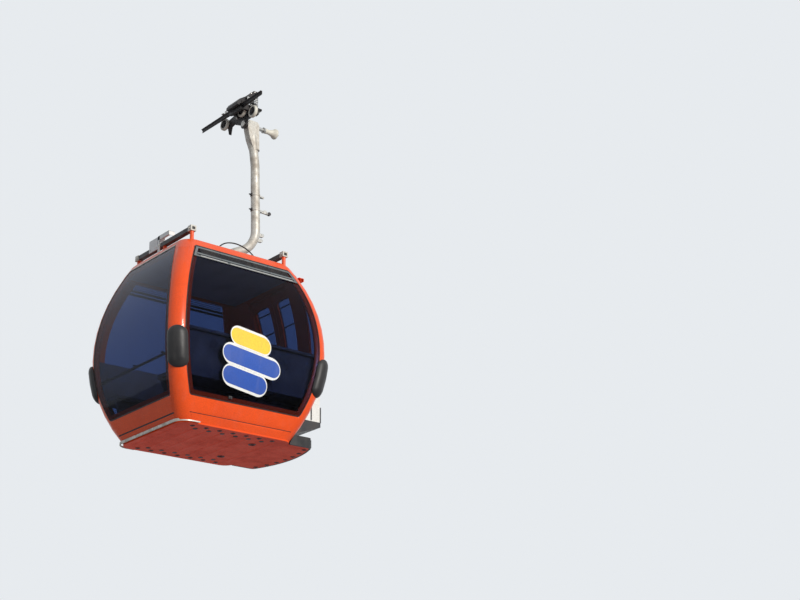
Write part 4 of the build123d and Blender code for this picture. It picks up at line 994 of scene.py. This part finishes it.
# %% Turn the wheels
WHEELS = {"rear": (-0.400, -0.036), "middle": (-0.007, -0.001), "front": (0.240, -0.109)}
WHEEL_Y, WHEEL_HALF, WHEEL_RADIUS, HUB_RADIUS = 0.104, 0.0215, 0.080, 0.056
HUB_BOLTS, HUB_BOLT_CIRCLE, HUB_BOLT, HUB_WEB = 6, 0.038, 0.0045, 0.008


def both_faces(half):
    """A closed profile from one half of it: up the far face, down the near one and back to the start."""
    near = [(radius, -along) for radius, along in half]
    return near + half[::-1] + near[:1]


TREAD = both_faces([(HUB_RADIUS, 0.020), (0.072, WHEEL_HALF), (0.077, 0.0185), (WHEEL_RADIUS, 0.013)])
HUB = both_faces([(0.0145, 0.019), (0.026, 0.019), (0.028, 0.016), (0.030, HUB_WEB), (0.046, HUB_WEB),
                  (0.049, 0.015), (0.0555, 0.017), (0.0565, 0.010)])
for name, (x, z) in WHEELS.items():
    body = "grip_wheel_" + name
    bm = bmesh.new()
    add_turned(bm, (x, WHEEL_Y, z), (0, 1, 0), TREAD, segments=48)
    new_piece(body + "_tread", bm, "pale_roller", body=body, place=ROPE, hides=[body], smooth=35)
    bm = bmesh.new()
    add_turned(bm, (x, WHEEL_Y, z), (0, 1, 0), HUB, segments=48)
    for turn in range(HUB_BOLTS):
        angle = turn * pi / 3
        at = (x + HUB_BOLT_CIRCLE * cos(angle), WHEEL_Y - HUB_WEB, z + HUB_BOLT_CIRCLE * sin(angle))
        add_bolts(bm, [at], (0, -1, 0), HUB_BOLT)
    new_piece(body + "_hub", bm, "dark_steel", body=body, place=ROPE, smooth=35)
print(len(WHEELS), "wheels")

# %% [markdown]
# ## The grip's springs
# Two coil springs press the moving jaw on the rope. A spring is a small circle spun round an axis while
# it climbs: the spin operator does that with its dvec. When the lever opens, the real coils close up.
# Each spring here gets a mesh of its own.

# %% Wind the springs
SPRING_Y, SPRING_LOW, SPRING_HIGH = 0.245, 0.014, 0.234
COIL_RADIUS, WIRE, TURNS, COIL_STEPS = 0.0265, 0.0048, 7.5, 20
for name, x in (("front", 0.092), ("rear", -0.092)):
    bm = bmesh.new()
    add_section(bm, COIL_RADIUS, WIRE, 10)
    steps = round(TURNS * COIL_STEPS)
    spin_about_z(bm, steps, TURNS * 2 * pi, (SPRING_HIGH - SPRING_LOW - 2 * WIRE) / steps)
    bmesh.ops.holes_fill(bm, edges=[e for e in bm.edges if e.is_boundary], sides=12)
    bmesh.ops.translate(bm, verts=bm.verts, vec=(x, SPRING_Y, SPRING_LOW + WIRE))
    spring = new_piece("spring_coils_" + name, bm, "bright_steel", body="grip", place=ROPE, smooth=70,
                       hides=["grip_springs"] if name == "front" else [])
    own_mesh(spring)
print("two springs of", TURNS, "turns")

# %% [markdown]
# ## The grip's castings
# The body of the grip is black casting with machined faces. Ribs, bosses, bolts and a light clip break it
# up. They are joined into two pieces, one light and one dark, because each is a few centimetres across
# and sits on the same body.

# %% Dress the grip
FRONT, BACK_FACE = 0.172, 0.132
CLIP_X, CLIP_LOW, CLIP_FACE = (-0.300, -0.262), 0.026, 0.037
RIB_TOP, RIB_HALF, ARM_HALF_X = -0.014, 0.006, 0.008
LEVER_SLOPE = (0, -0.55, 0.83)
bm = bmesh.new()
dark = bmesh.new()
add_bolts(bm, product((-0.160, 0.160), (BACK_FACE,), (-0.030, 0.020)), (0, -1, 0), 0.014)
add_bolts(bm, [(x, FRONT, z) for x, z in WHEELS.values()], (0, 1, 0), 0.017, tail=0.006)
for way in (-1, 1):
    add_bolts(bm, [(way * 0.157, 0.085, 0.108)], (way, 0, 0), 0.015, tail=0.004)
add_boxes(bm, (CLIP_X, (-0.020, 0.036), (CLIP_LOW, 0.036)), (CLIP_X, (0.030, CLIP_FACE), (CLIP_LOW, 0.090)))
add_bolts(bm, [(-0.281, CLIP_FACE, 0.070)], (0, 1, 0), 0.009)
new_piece("grip_bolts", bm, "bright_steel", body="grip", place=ROPE, bevel=0.001)
for x in (-0.095, 0.0, 0.095):
    rib = (x - RIB_HALF, x + RIB_HALF)
    add_boxes(dark, (rib, (FRONT, 0.205), (-0.050, RIB_TOP)), (rib, (FRONT, 0.186), (-0.050, -0.110)))
for x in (-0.150, 0.150):
    add_boxes(dark, ((x - ARM_HALF_X, x + ARM_HALF_X), (FRONT, 0.268), (-0.040, RIB_TOP)))
add_rod(dark, (0, 0.126, ROLLER_Z), (0, 0.134, ROLLER_Z), 0.066, segments=32)
new_piece("grip_ribs", dark, "black_casting", body="grip", place=ROPE, bevel=0.002)
bm = bmesh.new()
points = [(x, y, z) for x in (-0.1125, 0.1125) for y, z in ((0.150, 0.215), (0.205, 0.248))]
add_bolts(bm, points, LEVER_SLOPE, 0.012)
new_piece("lever_bolts", bm, "bright_steel", body="grip_lever", place=ROPE, bevel=0.001)
print("grip dressed")

# %% [markdown]
# ## Below the floor
# The tray under the floor is pressed sheet with long shallow ribs, rubber rings in its holes and round
# plugs beside them. The step outside the doors has a grooved face and rings in its own holes.

# %% Press the ribs of the pan and plug its holes
PAN_Z = -0.277
PAN_RIBS_Y = (-0.66, -0.47, -0.29, -0.11, 0.07, 0.25, 0.60)
PAN_RIB_HALF, PAN_RIB_END, PAN_RIB_WIDE, PAN_RIB_DEEP = 0.44, 0.035, 0.028, 0.0055
bm = bmesh.new()
for rib_y in PAN_RIBS_Y:
    part = bmesh.new()
    bmesh.ops.create_uvsphere(part, u_segments=20, v_segments=12, radius=1.0,
                              matrix=Matrix.Rotation(pi / 2, 4, "Y"))
    for vert in part.verts:
        x, y, z = vert.co
        foot = PAN_Z if z < 0 else PAN_Z + 0.001
        vert.co = Vector((x * PAN_RIB_END + pulled_apart(x, PAN_RIB_HALF), rib_y + y * PAN_RIB_WIDE,
                          foot - PAN_RIB_DEEP * z))
    add_mesh(bm, part)
# the ribs carry the tray's painted bounce light too
new_piece("pan_ribs", bm, "orange_paint", smooth=60, finish="tray_paint_painted_bounce")


def add_grommets(bm, points, bore, lip, crown, rim, segments=20):
    """Rubber rings in the pan's holes: their bore, the lip and the crown below the sheet, and their rim."""
    profile = [(bore, -0.002), (lip, -0.004), (crown, -0.004), (rim, -0.0015), (rim, 0.001), (bore, 0.001),
               (bore, -0.002)]
    for x, y in points:
        add_turned(bm, (x, y, PAN_Z), (0, 0, 1), profile, segments=segments)


GROMMET = (0.0128, 0.0150, 0.0265, 0.0290)
BIG_GROMMET = (0.0258, 0.030, 0.042, 0.046)
GROMMETS_X, GROMMETS_Y = (-0.585, 0.585), (-0.560, -0.380, -0.200, -0.020, 0.160, 0.340, 0.520)
PLUGS_X, PLUGS_Y, PLUG_RADIUS = (-0.500, 0.500), (-0.47, -0.29, -0.11, 0.07, 0.25, 0.43), 0.028
bm = bmesh.new()
add_grommets(bm, product(GROMMETS_X, GROMMETS_Y), *GROMMET)
for x, y in product(PLUGS_X, PLUGS_Y):
    add_rod(bm, (x, y, PAN_Z - 0.0035), (x, y, PAN_Z + 0.002), PLUG_RADIUS, segments=20)
add_grommets(bm, [(-0.325, 0.420), (0.325, 0.420)], *BIG_GROMMET, segments=28)
new_piece("pan_grommets", bm, "dark_rubber", bevel=0.0008)
print("underside dressed")

# %% Dress the step
STEP_Y, STEP_CURVE = 1.200, 2.82
GROOVES, GROOVE_STEP, PAD_HALF, PAD_HEIGHTS = range(-9, 10), 0.060, 0.024, (-0.262, -0.166)
HOLES, HOLE_STEP, HOLE_BACK = range(-3, 4), 0.165, 0.070
bm = bmesh.new()
for x in [i * GROOVE_STEP for i in GROOVES]:
    y = STEP_Y - x * x / STEP_CURVE
    add_boxes(bm, ((x - PAD_HALF, x + PAD_HALF), (y - 0.004, y + 0.003), PAD_HEIGHTS))
new_piece("step_face", bm, "dark_rubber", bevel=0.002)
bm = bmesh.new()
points = [(x, STEP_Y - x * x / STEP_CURVE - HOLE_BACK) for x in [i * HOLE_STEP for i in HOLES]]
add_grommets(bm, points, *GROMMET)
new_piece("step_grommets", bm, "dark_rubber", bevel=0.0008)
print("step dressed")

# %% [markdown]
# ## The front window's mark and latch
# Film sits on the front window, in a plain design of three slanted stripes, white, yellow and blue. Each
# stripe is a fine grid, shaped to a long round-ended outline and laid on the glass. A small dark latch
# stands at the window's foot.

# %% Cut the film
FILM_SLOPE, FILM_THICKNESS = -0.13, 0.0005
# finish, height above the glass, then each stripe: across, up, length and width
FILM = [
    ("film_white", 0.0008, ((-0.050, 0.720, 0.560, 0.250), (-0.020, 0.490, 0.800, 0.250),
                            (-0.080, 0.265, 0.620, 0.250))),
    ("film_yellow", 0.0014, ((-0.050, 0.720, 0.540, 0.190),)),
    ("film_blue", 0.0014, ((-0.020, 0.490, 0.780, 0.190), (-0.080, 0.265, 0.600, 0.190))),
]


def add_stripe(bm, across, z, length, width, proud):
    """A round-ended stripe of film that lies on the front window."""
    part = bmesh.new()
    bmesh.ops.create_grid(part, x_segments=40, y_segments=14, size=1.0)
    for vert in part.verts:
        s, t = sin(vert.co.x * pi / 2), sin(vert.co.y * pi / 2)
        shift = s * ((length - width) / 2 + width / 2 * sqrt(max(0.0, 1 - t * t)))
        vert.co = on_wall("front", across + shift, z + t * width / 2 + FILM_SLOPE * shift, proud)
    thicken_inwards(part, "front", FILM_THICKNESS)
    add_mesh(bm, part)


for name, proud, stripes in FILM:
    bm = bmesh.new()
    for stripe in stripes:
        add_stripe(bm, *stripe, proud)
    new_piece(name, bm, "white_board", finish=name)
print("film cut")

# %% Fit the latch
LATCH_ACROSS, LATCH_UP = -0.228, 0.050
LATCH_LOW, LATCH_HIGH = Vector((-0.002, -0.022, -0.016)), Vector((0.010, 0.022, 0.016))
LATCH_PIN = Vector((0.024, 0, -0.004))
bm = bmesh.new()
at = on_wall("front", LATCH_ACROSS, LATCH_UP)
add_boxes(bm, zip(at + LATCH_LOW, at + LATCH_HIGH))
add_rod(bm, at, at + LATCH_PIN, 0.009, segments=20)
new_piece("window_latch", bm, "dark_steel", bevel=0.002)
print("latch in place")

# %% [markdown]
# ## Inside and beside the doors
# The bolts of the ski racks, the joints of the benches and the brackets of the rail are small, but they
# show through the glass and from the side.

# %% Dress the racks and the room
RACK_X, RACK_SHIFT = (0.032, 0.154, 0.284, 0.413), 0.005
RACK_YZ = ((1.120, 0.105), (1.300, 0.105), (1.120, 0.450))
BAR_X, BAR_FACE, BAR_Z, RACK_BOLT = (0.120, 0.330), 1.3435, 0.290, 0.007
BENCH_X, BENCH_Y, BENCH_Z, BENCH_JOINT = (0.437, 0.500), (-0.45, 0.0, 0.45), (0.262, 0.2725), 0.002
BRACKET_X, BRACKET_Z, BRACKET_FROM, BRACKET_TO = (-0.60, 0.0, 0.60), 0.49, 0.040, 0.100
for body, way in LEAVES:
    bm = bmesh.new()
    points = [(way * (x + RACK_SHIFT), y, z) for x in RACK_X for y, z in RACK_YZ]
    add_bolts(bm, points, (way, 0, 0), RACK_BOLT)
    add_bolts(bm, [(way * x, BAR_FACE, BAR_Z) for x in BAR_X], (0, 1, 0), RACK_BOLT)
    new_piece(body + "_rack_bolts", bm, "bright_steel", body=body, bevel=0.001)
bm = bmesh.new()
for way, y in product((-1, 1), BENCH_Y):
    add_boxes(bm, (on_side(way, *BENCH_X), (y - BENCH_JOINT, y + BENCH_JOINT), BENCH_Z))
new_piece("bench_joints", bm, "dark_liner")
bm = bmesh.new()
half = half_at(1, BRACKET_Z)[0]
for x in BRACKET_X:
    add_rod(bm, (x, -half + BRACKET_FROM, BRACKET_Z), (x, -half + BRACKET_TO, BRACKET_Z), 0.010, segments=16)
new_piece("rail_brackets", bm, "dark_steel")
print("room and racks dressed")

# %% [markdown]
# ## The floor of the studio
# A broad pale disc lies far below the cabin, which hangs.

# %% Lay the floor
FLOOR_Z, FLOOR_RADIUS = -9.40, 90.0
FLOOR_SHOWN = (0.95, 0.96, 0.97, 1)
FLOOR_BOUNCE = (0.62, 0.61, 0.60, 1)
bm = bmesh.new()
bmesh.ops.create_circle(bm, cap_ends=True, segments=96, radius=FLOOR_RADIUS)
bmesh.ops.translate(bm, verts=bm.verts, vec=(0, 0, FLOOR_Z))
floor = smooth_object("studio_floor", bm, SHARP_BEND)
tree, shader = new_material("pale_paper")
rays = add_node(tree, "LightPath").outputs
set_inputs(shader, Roughness=0.9)
link(tree, (mix_colours(tree, rays["Is Camera Ray"], FLOOR_BOUNCE, FLOOR_SHOWN), shader.inputs["Base Color"]))
paint(floor, "pale_paper")
print("floor at", FLOOR_Z)
